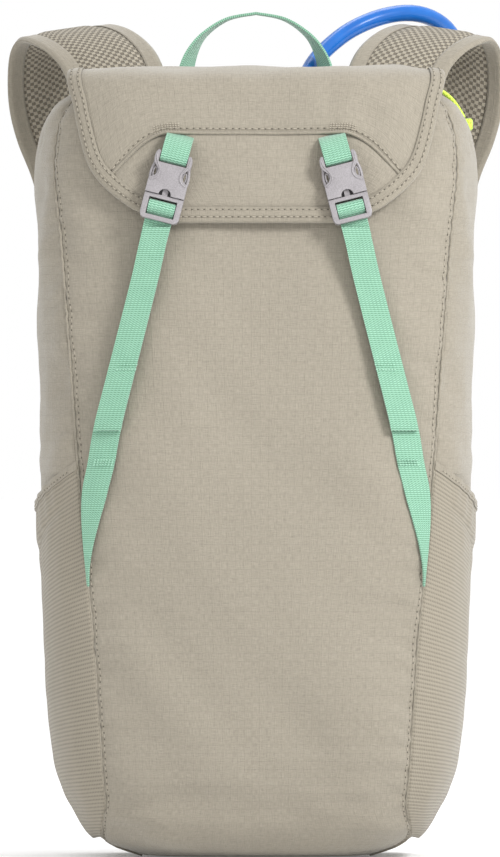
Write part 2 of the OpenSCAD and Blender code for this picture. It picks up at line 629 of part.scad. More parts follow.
// The loop at rest leans back on its sewn feet
haul_foot = [41, 80.6, 408];
haul_route = [
    haul_foot, [41, 82.6, 418], [40, 87, 432], [36.5, 91.4, 446], [29, 95, 458], [16, 97.8, 467],
    [0, 98.8, 470.3],
];
haul_across = [
    [1, 0, 0], [.95, .3, 0], [.6, .8, 0], [.4, .9, 0], [.2, .98, 0], [.1, 1, 0], [0, 1, 0],
];
function mirror_x(v) = [-v[0], v[1], v[2]];
module haul_loop() color(mint) {
    half = len(haul_route) - 1;
    route = concat([for (q = haul_route) mirror_x(q)], [for (k = [half - 1:-1:0]) haul_route[k]]);
    across = concat(haul_across, [for (k = [half - 1:-1:0]) mirror_x(haul_across[k])]);
    sweep(band(web_w, web_t), frames(smooth(route, 3), smooth(across, 3)));
}

// Ladder lock at the strap's lower end; its z axis points up the strap
lower_w = 20;
lock_top = [90, 148, 188];
lock_pitch = 23;
module at_ladder(side) on_side(side) translate(lock_top) rotate([-lock_pitch, 0, 0]) children();
module ladder_lock(side) color(dark_plastic) at_ladder(side) difference() {
    translate([0, 0, -28]) upright(5) polygon([
        [-14, 0], [14, 0], [14, 22], [12, 26], [-12, 26], [-14, 22],
    ]);
    translate([-10.6, -10, -26]) cube([21.2, 12, 5.4]);
    translate([-10.6, -10, -17.2]) cube([21.2, 12, 5.4]);
    translate([-10.6, -10, -8.4]) cube([21.2, 12, 4]);
    translate([-10.6, -7, -30]) cube([21.2, 4.4, 19]);
}
// Webbing from the anchor at the bag's foot up to the ladder lock, with its tail hanging free
lower_route = [
    [87.5, 71.4, 28], [87.5, 72, 44], [88, 84, 80], [88.8, 105, 122], [89.5, 125.4, 158],
    [90, 137.6, 178],
];
lower_tail = [[90, 145, 174.4], [90, 142.4, 162], [89.5, 140.6, 140], [88.5, 140, 116], [88, 140, 94]];
module lower_webbing(side) color(dark_plastic) on_side(side) for (route = [lower_route, lower_tail]) {
    p = smooth(route, 2);
    sweep(band(lower_w, web_t), frames(p, [for (q = p) [-1, 0, 0]]));
}
// Tab sewn on the lower corner, wide at its foot
tab_rows = [[22, 47, 64], [34, 47, 62], [46, 47.5, 60], [60, 48, 57]];
function tab_grid(off) = [for (r = tab_rows) [for (u = spread(r[1], r[2], 4)) bag_point(u, r[0], -off)]];
module anchor_tab(side) color(cloth) on_side(side) slab(tab_grid(2), tab_grid(.3));

// ---------- sternum strap ----------
rail_x = 71;
rail_y = 177.8;
module sternum_rail(side) color(dark_plastic) on_side(side) {
    translate([rail_x - 5, rail_y, sternum_z - 40]) cube([10, 1.4, 80]);
    for (z = [-40, 37]) translate([rail_x - 5, rail_y - 2.6, sternum_z + z]) cube([10, 2.6, 3]);
}
module sternum_slider(side) color(grey_plastic) on_side(side) difference() {
    translate([rail_x - 9.5, rail_y - 1.8, sternum_z - 9]) cube([17, 5.4, 18]);
    translate([rail_x - 5.4, rail_y - .4, sternum_z - 10]) cube([10.8, 2.2, 20]);
    translate([rail_x - 2.4, rail_y - 3, sternum_z - 10]) cube([4.8, 3, 20]);
    // Slot for the sternum webbing
    translate([rail_x - 8.3, rail_y - 3, sternum_z - 8]) cube([1.8, 8, 16]);
}
module sternum_webbing(side) color(dark_plastic) on_side(side) {
    // The end lies over the bar of the socket or the plug
    end = side > 0 ? [8.5, rail_y + 6.85, sternum_z] : [20.5, rail_y + 6.45, sternum_z];
    p = [[rail_x - 10.6, rail_y + 2.4, sternum_z], [52, rail_y + 4, sternum_z],
         [38, rail_y + 5.7, sternum_z], [end[0] + 9, end[1], sternum_z], end];
    q = smooth(p, 3);
    sweep(band(web_w, web_t), frames(q, [for (r = q) [0, 0, 1]]));
}
module at_sternum() translate([-2, rail_y + 8, sternum_z]) rotate([0, -90, 0]) children();
module sternum_socket() color(grey_plastic) at_sternum() buckle_socket_shape();
module sternum_plug() color(grey_plastic) at_sternum() buckle_plug_shape();

// Elastic loop that holds the tube on the right strap
module tube_clip() color(dark_plastic) translate([96, 181.2, 339]) difference() {
    cylinder(r = tube_d / 2 + 1.5, h = 14, center = true);
    cylinder(r = tube_d / 2 + .45, h = 16, center = true);
}

front_panel();
side_panel(-1);  // side_panel_left
side_panel(1);  // side_panel_right
bottom_panel();
back_panel();
back_pad();
throat_collar();
drawcord();
cord_lock_body();
cord_lock_plunger();
cord_lock_spring();
side_pocket(-1);  // side_pocket_left
side_pocket(1);  // side_pocket_right
pocket_hem(-1);  // pocket_hem_left
pocket_hem(1);  // pocket_hem_right
haul_loop();
harness_yoke();
front_strap(-1);  // front_strap_left
front_strap(1);  // front_strap_right
buckle_plug(-1);  // buckle_plug_left
buckle_plug(1);  // buckle_plug_right
lid_top_panel();
lid_front_panel();
lid_binding();
lid_strap(-1);  // lid_strap_left
lid_strap(1);  // lid_strap_right
buckle_socket(-1);  // buckle_socket_left
buckle_socket(1);  // buckle_socket_right
hydration_sleeve();
reservoir_hanger();
reservoir_bladder();
reservoir_collar();
reservoir_seal();
reservoir_cap();
reservoir_handle();
outlet_fitting();
quick_link();
quick_link_button();
drink_tube();
bite_valve_body();
bite_piece();
valve_lever();
tube_clip();
shoulder_strap(-1);  // shoulder_strap_left
shoulder_strap(1);  // shoulder_strap_right
ladder_lock(-1);  // ladder_lock_left
ladder_lock(1);  // ladder_lock_right
lower_webbing(-1);  // lower_webbing_left
lower_webbing(1);  // lower_webbing_right
anchor_tab(-1);  // anchor_tab_left
anchor_tab(1);  // anchor_tab_right
sternum_rail(-1);  // sternum_rail_left
sternum_rail(1);  // sternum_rail_right
sternum_slider(-1);  // sternum_slider_left
sternum_slider(1);  // sternum_slider_right
sternum_webbing(-1);  // sternum_webbing_left
sternum_webbing(1);  // sternum_webbing_right
sternum_socket();
sternum_plug();
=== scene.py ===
"""Hydration pack: cloth, webbing, buckles and drinking tube, dressed over the shared frame.

Shapes are worked out in millimetres in the row frame: -Y is the front, +Y the wearer, +X the right,
and the base stands on z = 0. Meshes are made in metres.
"""

import json  # noqa: E402
import logging  # noqa: E402
import math  # noqa: E402
from dataclasses import dataclass, field  # noqa: E402
from enum import Enum  # noqa: E402
from functools import lru_cache  # noqa: E402
from typing import Any, Callable, Sequence  # noqa: E402

import bmesh  # noqa: E402
import bpy  # noqa: E402
from mathutils import Matrix, Vector, noise  # noqa: E402
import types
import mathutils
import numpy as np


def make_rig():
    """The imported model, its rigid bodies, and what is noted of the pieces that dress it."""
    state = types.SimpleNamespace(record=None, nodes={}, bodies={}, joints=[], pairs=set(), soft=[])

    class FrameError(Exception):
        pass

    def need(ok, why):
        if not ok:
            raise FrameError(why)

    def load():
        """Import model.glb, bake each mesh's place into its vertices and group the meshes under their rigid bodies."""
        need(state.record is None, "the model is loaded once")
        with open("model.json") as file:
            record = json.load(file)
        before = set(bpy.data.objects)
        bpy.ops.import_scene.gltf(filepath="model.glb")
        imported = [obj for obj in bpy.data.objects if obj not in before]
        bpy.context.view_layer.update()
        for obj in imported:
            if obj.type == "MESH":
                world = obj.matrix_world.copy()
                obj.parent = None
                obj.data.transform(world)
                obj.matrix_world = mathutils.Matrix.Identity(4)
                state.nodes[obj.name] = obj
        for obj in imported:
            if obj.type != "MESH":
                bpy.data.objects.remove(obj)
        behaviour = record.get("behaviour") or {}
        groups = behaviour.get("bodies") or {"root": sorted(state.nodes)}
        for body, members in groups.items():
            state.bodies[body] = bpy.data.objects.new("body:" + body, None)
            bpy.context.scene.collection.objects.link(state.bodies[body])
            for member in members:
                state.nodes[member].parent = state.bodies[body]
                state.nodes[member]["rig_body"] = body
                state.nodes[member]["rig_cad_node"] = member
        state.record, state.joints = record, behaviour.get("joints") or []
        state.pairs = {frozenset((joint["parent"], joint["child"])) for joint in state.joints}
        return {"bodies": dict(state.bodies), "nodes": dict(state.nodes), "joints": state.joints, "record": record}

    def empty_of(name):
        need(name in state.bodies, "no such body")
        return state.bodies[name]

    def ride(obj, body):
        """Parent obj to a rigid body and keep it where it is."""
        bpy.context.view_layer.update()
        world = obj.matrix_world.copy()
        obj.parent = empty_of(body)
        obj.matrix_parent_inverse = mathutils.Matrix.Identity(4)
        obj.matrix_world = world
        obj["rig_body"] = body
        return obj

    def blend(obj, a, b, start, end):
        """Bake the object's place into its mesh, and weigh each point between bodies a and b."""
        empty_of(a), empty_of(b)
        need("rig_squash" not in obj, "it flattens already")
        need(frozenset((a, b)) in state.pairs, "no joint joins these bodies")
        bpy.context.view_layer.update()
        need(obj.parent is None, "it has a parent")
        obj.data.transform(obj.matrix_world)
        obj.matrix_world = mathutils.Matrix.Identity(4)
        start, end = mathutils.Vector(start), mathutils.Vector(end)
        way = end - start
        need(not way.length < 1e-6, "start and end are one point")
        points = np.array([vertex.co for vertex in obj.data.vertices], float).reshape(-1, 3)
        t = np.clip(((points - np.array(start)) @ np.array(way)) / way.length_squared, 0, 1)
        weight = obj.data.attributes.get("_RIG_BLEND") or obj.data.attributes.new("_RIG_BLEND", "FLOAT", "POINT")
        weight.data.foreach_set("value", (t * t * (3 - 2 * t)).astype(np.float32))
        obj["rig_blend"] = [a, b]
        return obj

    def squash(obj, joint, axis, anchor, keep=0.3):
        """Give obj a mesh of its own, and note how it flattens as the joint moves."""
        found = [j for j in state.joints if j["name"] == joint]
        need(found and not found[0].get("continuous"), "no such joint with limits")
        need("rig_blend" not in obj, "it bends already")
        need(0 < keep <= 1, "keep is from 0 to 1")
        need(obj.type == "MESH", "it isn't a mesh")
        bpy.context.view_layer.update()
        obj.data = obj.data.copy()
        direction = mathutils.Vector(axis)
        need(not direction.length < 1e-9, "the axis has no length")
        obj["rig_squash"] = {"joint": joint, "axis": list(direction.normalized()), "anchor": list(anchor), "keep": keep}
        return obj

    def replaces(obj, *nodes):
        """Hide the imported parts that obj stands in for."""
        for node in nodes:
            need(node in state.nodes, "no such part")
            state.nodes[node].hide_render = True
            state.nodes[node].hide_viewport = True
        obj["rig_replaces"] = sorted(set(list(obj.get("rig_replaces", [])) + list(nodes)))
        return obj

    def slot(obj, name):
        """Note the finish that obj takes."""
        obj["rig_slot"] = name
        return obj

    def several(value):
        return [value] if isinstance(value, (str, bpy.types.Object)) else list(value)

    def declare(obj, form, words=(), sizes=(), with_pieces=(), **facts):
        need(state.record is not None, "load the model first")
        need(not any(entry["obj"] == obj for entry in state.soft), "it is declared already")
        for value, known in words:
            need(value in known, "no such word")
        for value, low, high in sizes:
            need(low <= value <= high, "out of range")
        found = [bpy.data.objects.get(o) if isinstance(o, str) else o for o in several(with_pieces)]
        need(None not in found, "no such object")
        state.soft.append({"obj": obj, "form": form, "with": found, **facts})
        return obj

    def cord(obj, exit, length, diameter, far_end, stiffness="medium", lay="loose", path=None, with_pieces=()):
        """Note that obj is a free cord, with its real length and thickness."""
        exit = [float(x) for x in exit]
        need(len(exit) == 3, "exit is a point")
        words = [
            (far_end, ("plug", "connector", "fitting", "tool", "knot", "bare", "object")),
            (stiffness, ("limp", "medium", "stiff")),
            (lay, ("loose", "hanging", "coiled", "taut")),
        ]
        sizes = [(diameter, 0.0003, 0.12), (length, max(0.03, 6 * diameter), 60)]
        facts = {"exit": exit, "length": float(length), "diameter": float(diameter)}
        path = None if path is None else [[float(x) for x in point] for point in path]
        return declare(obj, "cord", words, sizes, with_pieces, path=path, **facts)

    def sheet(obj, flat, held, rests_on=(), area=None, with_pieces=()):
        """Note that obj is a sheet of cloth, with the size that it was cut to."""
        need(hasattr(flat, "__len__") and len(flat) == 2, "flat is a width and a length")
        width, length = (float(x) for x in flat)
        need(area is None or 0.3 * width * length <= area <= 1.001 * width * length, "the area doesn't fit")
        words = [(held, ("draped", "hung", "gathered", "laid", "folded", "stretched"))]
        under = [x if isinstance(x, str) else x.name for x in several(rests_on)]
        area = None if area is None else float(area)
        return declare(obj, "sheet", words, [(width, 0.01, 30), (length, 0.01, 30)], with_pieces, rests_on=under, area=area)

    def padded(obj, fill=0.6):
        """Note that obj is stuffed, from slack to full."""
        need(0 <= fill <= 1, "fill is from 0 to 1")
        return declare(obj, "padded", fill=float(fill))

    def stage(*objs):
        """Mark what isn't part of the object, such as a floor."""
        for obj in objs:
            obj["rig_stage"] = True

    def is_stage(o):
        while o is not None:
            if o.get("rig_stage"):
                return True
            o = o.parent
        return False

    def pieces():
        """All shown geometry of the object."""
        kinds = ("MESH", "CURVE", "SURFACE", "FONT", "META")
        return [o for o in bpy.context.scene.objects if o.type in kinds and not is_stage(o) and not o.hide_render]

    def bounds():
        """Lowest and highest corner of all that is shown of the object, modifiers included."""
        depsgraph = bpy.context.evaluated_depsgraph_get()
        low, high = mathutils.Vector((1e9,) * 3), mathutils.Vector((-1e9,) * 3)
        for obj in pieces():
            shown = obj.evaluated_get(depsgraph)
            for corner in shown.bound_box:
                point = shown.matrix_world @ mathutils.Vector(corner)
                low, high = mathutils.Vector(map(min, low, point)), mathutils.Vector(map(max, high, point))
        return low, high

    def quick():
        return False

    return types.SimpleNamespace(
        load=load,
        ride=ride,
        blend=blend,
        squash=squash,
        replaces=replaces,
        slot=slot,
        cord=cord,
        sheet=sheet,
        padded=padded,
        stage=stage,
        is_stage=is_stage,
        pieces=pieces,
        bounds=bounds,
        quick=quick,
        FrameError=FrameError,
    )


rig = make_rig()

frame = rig.load()
CAD_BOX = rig.bounds()

log = logging.getLogger("hydration_pack")

MM = 0.001
TURN = 2 * math.pi
Place = Callable[[float, float], Vector]
Colour = tuple[float, float, float]


class Side(Enum):
    """A side of the bag, seen from the front."""

    LEFT = -1
    RIGHT = 1

    @property
    def word(self) -> str:
        """The side's name, as the frame's nodes and bodies use it."""
        return self.name.lower()

    def put(self, point: Vector) -> Vector:
        """The point on this side that matches one on the right."""
        return Vector((point.x * self.value, point.y, point.z))


# ---------------------------------------------------------------- curves and shapes


def step(value: float, low: float, high: float) -> float:
    """Smooth climb from 0 at low to 1 at high."""
    share = min(1.0, max(0.0, (value - low) / (high - low)))
    return share * share * (3 - 2 * share)


def hump(value: float, middle: float, width: float) -> float:
    """Bell of height 1 about the middle."""
    return math.exp(-(((value - middle) / width) ** 2))


def ripple(point: Vector, size: float, seed: float = 0.0) -> float:
    """Smooth unevenness from -1 to 1 with features of that size, in millimetres."""
    return noise.noise(point / size + Vector((seed, 1.7 * seed, -0.6 * seed)))


@dataclass(frozen=True)
class Profile:
    """Smooth curve through given pairs of place and value, which never overshoots them."""

    pairs: tuple[tuple[float, float], ...]

    def slope(self, index: int) -> float:
        """Slope of the curve at one of its pairs."""
        if index in (0, len(self.pairs) - 1):
            return 0.0
        (x0, y0), (x1, y1), (x2, y2) = self.pairs[index - 1 : index + 2]
        before, after = (y1 - y0) / (x1 - x0), (y2 - y1) / (x2 - x1)
        return 0.0 if before * after <= 0 else 2 * before * after / (before + after)

    def __call__(self, place: float) -> float:
        """Value of the curve at a place."""
        if place <= self.pairs[0][0]:
            return self.pairs[0][1]
        if place >= self.pairs[-1][0]:
            return self.pairs[-1][1]
        index = max(i for i, pair in enumerate(self.pairs) if pair[0] <= place)
        (x0, y0), (x1, y1) = self.pairs[index], self.pairs[index + 1]
        span = x1 - x0
        t = (place - x0) / span
        start, end = self.slope(index) * span, self.slope(index + 1) * span
        if index == 0:
            start = 2 * (y1 - y0) - end
        if index == len(self.pairs) - 2:
            end = 2 * (y1 - y0) - start
        return (
            (2 * t**3 - 3 * t**2 + 1) * y0
            + (t**3 - 2 * t**2 + t) * start
            + (3 * t**2 - 2 * t**3) * y1
            + (t**3 - t**2) * end
        )


@dataclass(frozen=True)
class Route:
    """Smooth line through given points, in millimetres."""

    points: tuple[tuple[float, ...], ...]

    def on_step(self, place: float) -> Vector:
        """Point of the curve at a place counted in its given points."""
        last = len(self.points) - 1
        index = min(last - 1, max(0, int(place)))
        t = place - index
        a, b, c, d = (
            Vector(self.points[min(last, max(0, index + k))]) for k in (-1, 0, 1, 2)
        )
        return (
            2 * b
            + (c - a) * t
            + (2 * a - 5 * b + 4 * c - d) * t * t
            + (3 * b - a - 3 * c + d) * t**3
        ) / 2

    def line(self, steps: int) -> list[Vector]:
        """The curve as points, with that many steps between neighbours."""
        count = (len(self.points) - 1) * steps
        return [self.on_step(k / steps) for k in range(count + 1)]


def lengths(points: Sequence[Vector]) -> list[float]:
    """Distance from the start to each point of a line."""
    total = [0.0]
    for before, after in zip(points, points[1:]):
        total.append(total[-1] + (after - before).length)
    return total


def evenly(points: Sequence[Vector], count: int) -> list[Vector]:
    """A line's points placed again at equal distances.

    Args:
        points: The line.
        count: How many steps the new line has.

    Returns:
        count + 1 points.
    """
    far = lengths(points)
    found, index = [], 0
    for k in range(count + 1):
        goal = far[-1] * k / count
        while index < len(far) - 2 and far[index + 1] < goal:
            index += 1
        span = far[index + 1] - far[index] or 1.0
        found.append(points[index].lerp(points[index + 1], (goal - far[index]) / span))
    return found


def heading(points: Sequence[Vector], index: int) -> Vector:
    """Direction of a line at one of its points."""
    ahead = points[min(index + 1, len(points) - 1)]
    behind = points[max(index - 1, 0)]
    return (ahead - behind).normalized()


@dataclass(frozen=True)
class BagShape:
    """Outer surface of the bag: a rounded box whose section changes with height."""

    half: float = 121.5
    height: float = 424.0
    front: float = 90.0
    back: float = 70.0
    squareness_front: float = 3.4
    squareness_back: float = 5.0
    width_share: Profile = Profile((
        (0, 0.5), (0.007, 0.58), (0.0165, 0.675), (0.035, 0.765), (0.059, 0.815), (0.092, 0.87),
        (0.125, 0.905), (0.2, 0.937), (0.26, 0.948), (0.42, 0.975), (0.61, 0.99), (0.8, 1),
        (0.9, 0.99), (0.94, 0.97), (0.965, 0.94), (0.985, 0.89), (1, 0.82),
    ))
    front_share: Profile = Profile((
        (0, 0.58), (0.014, 0.73), (0.038, 0.84), (0.075, 0.915), (0.14, 0.97), (0.26, 1),
        (0.42, 0.98), (0.61, 0.925), (0.8, 0.84), (0.94, 0.755), (1, 0.7),
    ))
    back_share: Profile = Profile(((0, 0.84), (0.014, 0.93), (0.038, 0.975), (0.075, 1), (1, 1)))
    seam_share: Profile = Profile((
        (0, 0.985), (8, 0.965), (20, 0.875), (33, 0.805), (53, 0.772), (75, 0.763), (111, 0.769),
        (150, 0.787), (219, 0.821), (292, 0.857), (342, 0.885), (381, 0.925), (424, 0.94),
    ))

    def half_width(self, z: float) -> float:
        """Half width of the section at a height."""
        return self.half * self.width_share(z / self.height)

    def reach(self, z: float, behind: bool) -> float:
        """How far the section reaches behind or in front of the origin at a height."""
        if behind:
            return self.back * self.back_share(z / self.height)
        return self.front * self.front_share(z / self.height)

    def front_y(self, x: float, z: float, off: float) -> float:
        """Y of the front surface, moved out by off."""
        width = self.half_width(min(z, 400)) + off
        share = min(abs(x) / width, 0.98) ** self.squareness_front
        return -(self.reach(z, False) + off) * (1 - share) ** (1 / self.squareness_front)

    def front_seam(self, z: float) -> float:
        """Angle of the seam between the front and the right side panel."""
        share = self.seam_share(z)
        side = share * self.half_width(z)
        ahead = self.reach(z, False) * (1 - share**self.squareness_front) ** (
            1 / self.squareness_front
        )
        return -math.atan2(ahead, side)

    def back_seam(self, z: float) -> float:
        """Angle of the seam between the right side panel and the back panel."""
        share = math.cos(math.pi / 4) ** (2 / self.squareness_back)
        return math.atan2(self.reach(z, True) * share, self.half_width(z) * share)

    def on_section(self, angle: float, z: float) -> Vector:
        """Point of the section at a height, seen from the origin under that angle."""
        behind = math.sin(angle) > 0
        power = self.squareness_back if behind else self.squareness_front
        wide = abs(math.cos(angle)) / self.half_width(z)
        deep = abs(math.sin(angle)) / self.reach(z, behind)
        radius = (wide**power + deep**power) ** (-1 / power)
        return Vector((radius * math.cos(angle), radius * math.sin(angle), z))

    def out(self, point: Vector) -> Vector:
        """Direction straight out of the surface at a point on it."""
        behind = point.y > 0
        power = self.squareness_back if behind else self.squareness_front
        width, deep = self.half_width(point.z), self.reach(point.z, behind)
        rise = 2.0
        width_up = (self.half_width(point.z + rise) - self.half_width(point.z - rise)) / (2 * rise)
        deep_up = (self.reach(point.z + rise, behind) - self.reach(point.z - rise, behind)) / (2 * rise)
        share_x, share_y = abs(point.x) / width, abs(point.y) / deep
        return Vector((
            math.copysign(share_x ** (power - 1) / width, point.x),
            math.copysign(share_y ** (power - 1) / deep, point.y),
            -(share_x**power * width_up / width + share_y**power * deep_up / deep),
        )).normalized()


BAG = BagShape()


class Panel(Enum):
    """A panel of the bag's wall, by the seams that bound it."""

    FRONT = "front"
    SIDE = "side"
    BACK = "back"

    def seams(self, z: float) -> tuple[float, float]:
        """Angles of the panel's two seams at a height, the side panel's on the right."""
        ahead, behind = BAG.front_seam(z), BAG.back_seam(z)
        if self is Panel.FRONT:
            return -math.pi - ahead, ahead
        if self is Panel.SIDE:
            return ahead, behind
        return behind, math.pi - behind

    def at(self, share: float, z: float) -> Vector:
        """Point of the panel at a share of the way from seam to seam."""
        low = min(math.floor(z), int(BAG.height) - 1)
        under, over = panel_row(self, low), panel_row(self, low + 1)
        place = min(1.0, max(0.0, share)) * (len(under) - 1)
        index = min(int(place), len(under) - 2)
        below = under[index].lerp(under[index + 1], place - index)
        return below.lerp(over[index].lerp(over[index + 1], place - index), z - low)


@lru_cache(maxsize=4000)
def panel_row(panel: Panel, z: int) -> list[Vector]:
    """Evenly spread points of a panel at one height, kept for the next use."""
    start, end = panel.seams(z)
    rough = [BAG.on_section(start + (end - start) * k / 120, z) for k in range(121)]
    return evenly(rough, 80)


# ---------------------------------------------------------------- meshes


def make_object(name: str, bm: bmesh.types.BMesh) -> bpy.types.Object:
    """Turn a finished bmesh into a smooth-shaded object at the origin.

    Args:
        name: The piece's name.
        bm: Its mesh, which is freed.

    Returns:
        The object.
    """
    for face in bm.faces:
        face.smooth = True
    mesh = bpy.data.meshes.new(name)
    bm.to_mesh(mesh)
    bm.free()
    made = bpy.data.objects.new(name, mesh)
    bpy.context.scene.collection.objects.link(made)
    return made


def thicken(piece: bpy.types.Object, thickness: float, offset: float = -1.0) -> bpy.types.Object:
    """Give a cloth its thickness in millimetres: offset -1 grows it inwards, 0 both ways."""
    solid = piece.modifiers.new("Thickness", "SOLIDIFY")
    solid.thickness = thickness * MM
    solid.offset = offset
    return piece


def soften(piece: bpy.types.Object, width: float, segments: int = 2) -> bpy.types.Object:
    """Round the sharp edges of a piece, by a width in millimetres."""
    bevel = piece.modifiers.new("Soft_edges", "BEVEL")
    bevel.width = width * MM
    bevel.segments = segments
    bevel.limit_method = "ANGLE"
    bevel.angle_limit = math.radians(38)
    bevel.harden_normals = True
    return piece


def sewn(
    name: str,
    place: Place,
    columns: int,
    rows: int,
    closed: bool = False,
) -> bpy.types.Object:
    """Cut a flat cloth and move each of its points to its place, its weave at true size.

    Args:
        name: The piece's name.
        place: Gives the point for a share across and a share up, in millimetres.
        columns: Steps across.
        rows: Steps up.
        closed: Whether the two sides meet and are joined.

    Returns:
        The cloth, without thickness.
    """
    bm = bmesh.new()
    bmesh.ops.create_grid(bm, x_segments=columns, y_segments=rows, size=1.0)
    weave = bm.loops.layers.uv.new("Weave")
    flat = {vert: ((vert.co.x + 1) / 2, (vert.co.y + 1) / 2) for vert in bm.verts}
    width = lengths([place(k / columns, 0.5) for k in range(columns + 1)])
    height = lengths([place(0.3, k / rows) for k in range(rows + 1)])
    for face in bm.faces:
        for loop in face.loops:
            across, up = flat[loop.vert]
            loop[weave].uv = (width[round(across * columns)] * MM, height[round(up * rows)] * MM)
    for vert, (across, up) in flat.items():
        vert.co = place(across, up) * MM
    if closed:
        bmesh.ops.remove_doubles(bm, verts=bm.verts, dist=0.02 * MM)
    return make_object(name, bm)


def close_ends(piece: bpy.types.Object) -> bpy.types.Object:
    """Fill the open ends of a tube-like piece."""
    bm = bmesh.new()
    bm.from_mesh(piece.data)
    rim = [edge for edge in bm.edges if edge.is_boundary]
    bmesh.ops.holes_fill(bm, edges=rim, sides=0)
    bmesh.ops.recalc_face_normals(bm, faces=bm.faces)
    bm.to_mesh(piece.data)
    bm.free()
    return piece


def tube(name: str, line: Sequence[Vector], radius: float, sides: int = 10) -> bpy.types.Object:
    """Round cord along a line, with closed ends.

    Args:
        name: The piece's name.
        line: Its centre line in millimetres.
        radius: Its radius.
        sides: Steps round it.

    Returns:
        The cord.
    """
    lift = Vector((0, 0, 1))
    rings: list[tuple[Vector, Vector, Vector]] = []
    for index, centre in enumerate(line):
        way = heading(line, index)
        lift = (lift - lift.dot(way) * way).normalized() if abs(lift.dot(way)) < 0.99 else way.orthogonal()
        rings.append((centre, lift, way.cross(lift)))

    def place(around: float, along: float) -> Vector:
        """Point on the cord's skin."""
        centre, one, other = rings[round(along * (len(rings) - 1))]
        turn = TURN * around
        return centre + radius * (math.cos(turn) * one + math.sin(turn) * other)

    return close_ends(sewn(name, place, sides, len(line) - 1, closed=True))


def ribbon(
    name: str,
    centres: Sequence[Vector],
    across: Sequence[Vector],
    width: float,
    thickness: float,
    columns: int = 6,
) -> bpy.types.Object:
    """Flat webbing along a line.

    Args:
        name: The piece's name.
        centres: Its centre line in millimetres.
        across: Direction across it at each point of the line.
        width: Its width.
        thickness: Its thickness.
        columns: Steps across it.

    Returns:
        The webbing, with soft edges.
    """

    def place(share: float, along: float) -> Vector:
        """Point of the webbing's middle layer."""
        index = round(along * (len(centres) - 1))
        way = heading(centres, index)
        sideways = across[index] - across[index].dot(way) * way
        return centres[index] + (share - 0.5) * width * sideways.normalized()

    made = sewn(name, place, columns, len(centres) - 1)
    return soften(thicken(made, thickness, 0.0), 0.3)


def normal_of(place: Place, across: float, up: float) -> Vector:
    """Outward direction of a cloth at one of its places."""
    small = 0.004
    right = place(min(1, across + small), up) - place(max(0, across - small), up)
    above = place(across, min(1, up + small)) - place(across, max(0, up - small))
    return right.cross(above).normalized()


@dataclass(frozen=True)
class Stitch:
    """A sewing stitch and how often it comes, in millimetres."""

    pitch: float = 3.4
    length: float = 2.7
    width: float = 0.75
    height: float = 0.5
    start: float = 0.5

    @property
    def holes(self) -> "Stitch":
        """Dark dots of painted shade for the needle holes between the stitches."""
        return Stitch(self.pitch, 1.0, self.width * 1.25, self.height * 0.7, 1.0)

    def row(self, name: str, lines: Sequence[tuple[Sequence[Vector], Sequence[Vector]]]) -> bpy.types.Object:
        """Rows of stitches in one piece.

        Args:
            name: The piece's name.
            lines: For each row, its points and the outward direction at each.

        Returns:
            The stitches.
        """
        seed = bmesh.new()
        bmesh.ops.create_uvsphere(seed, u_segments=6, v_segments=4, radius=1.0)
        one = bpy.data.meshes.new("stitch")
        seed.to_mesh(one)
        seed.free()
        bm = bmesh.new()
        for points, outs in lines:
            far = lengths(points)
            index = 0
            for k in range(int(far[-1] / self.pitch - self.start)):
                goal = (k + self.start) * self.pitch
                while index < len(far) - 2 and far[index + 1] < goal:
                    index += 1
                along = heading(points, index)
                out = outs[index]
                sideways = out.cross(along).normalized()
                span = far[index + 1] - far[index] or 1.0
                centre = points[index].lerp(points[index + 1], (goal - far[index]) / span)
                turned = Matrix((
                    along * self.length / 2, sideways * self.width / 2, out * self.height / 2,
                )).transposed() * MM
                where = Matrix.Translation(centre * MM) @ turned.to_4x4()
                placed = one.copy()
                placed.transform(where)
                bm.from_mesh(placed)
                bpy.data.meshes.remove(placed)
        bpy.data.meshes.remove(one)
        return make_object(name, bm)


def on_cloth(
    place: Place, spots: Sequence[tuple[float, float]], lift: float
) -> tuple[list[Vector], list[Vector]]:
    """A line over a cloth.

    Args:
        place: The cloth.
        spots: Shares across and up along the line.
        lift: Height over the cloth.

    Returns:
        The line's points, and the outward direction at each.
    """
    outs = [normal_of(place, across, up) for across, up in spots]
    points = [place(across, up) + lift * out for (across, up), out in zip(spots, outs)]
    return points, outs


# ---------------------------------------------------------------- shader nodes


class Wire:
    """A socket of the shader that adds Math nodes when it is used in an expression."""

    def __init__(self, shader: "Shader", socket: bpy.types.NodeSocket) -> None:
        """Wrap a socket of a shader."""
        self.shader = shader
        self.socket = socket

    def math(self, operation: str, *values: "float | Wire") -> "Wire":
        """Result of a Math node on the values."""
        made = self.shader.node(
            "ShaderNodeMath", {"operation": operation}, dict(enumerate(values))
        )
        return Wire(self.shader, made.outputs[0])

    def __add__(self, other: "float | Wire") -> "Wire":
        """Sum."""
        return self.math("ADD", self, other)

    __radd__ = __add__

    def __mul__(self, other: "float | Wire") -> "Wire":
        """Product."""
        return self.math("MULTIPLY", self, other)

    __rmul__ = __mul__

    def __sub__(self, other: "float | Wire") -> "Wire":
        """Difference."""
        return self.math("SUBTRACT", self, other)

    def __rsub__(self, other: "float | Wire") -> "Wire":
        """Difference from a number."""
        return self.math("SUBTRACT", other, self)

    def __pow__(self, other: "float | Wire") -> "Wire":
        """Power."""
        return self.math("POWER", self, other)

    def wave(self, pitch: float) -> "Wire":
        """Swing from 0 to 1 and back once each pitch."""
        return self.math("COSINE", self * (TURN / pitch)) * 0.5 + 0.5

    def between(self, low: float, high: float) -> "Wire":
        """0 below low, 1 above high and a straight climb between them."""
        made = self.shader.node(
            "ShaderNodeMapRange",
            {"clamp": True},
            {0: self, 1: low, 2: high, 3: 0.0, 4: 1.0},
        )
        return Wire(self.shader, made.outputs[0])


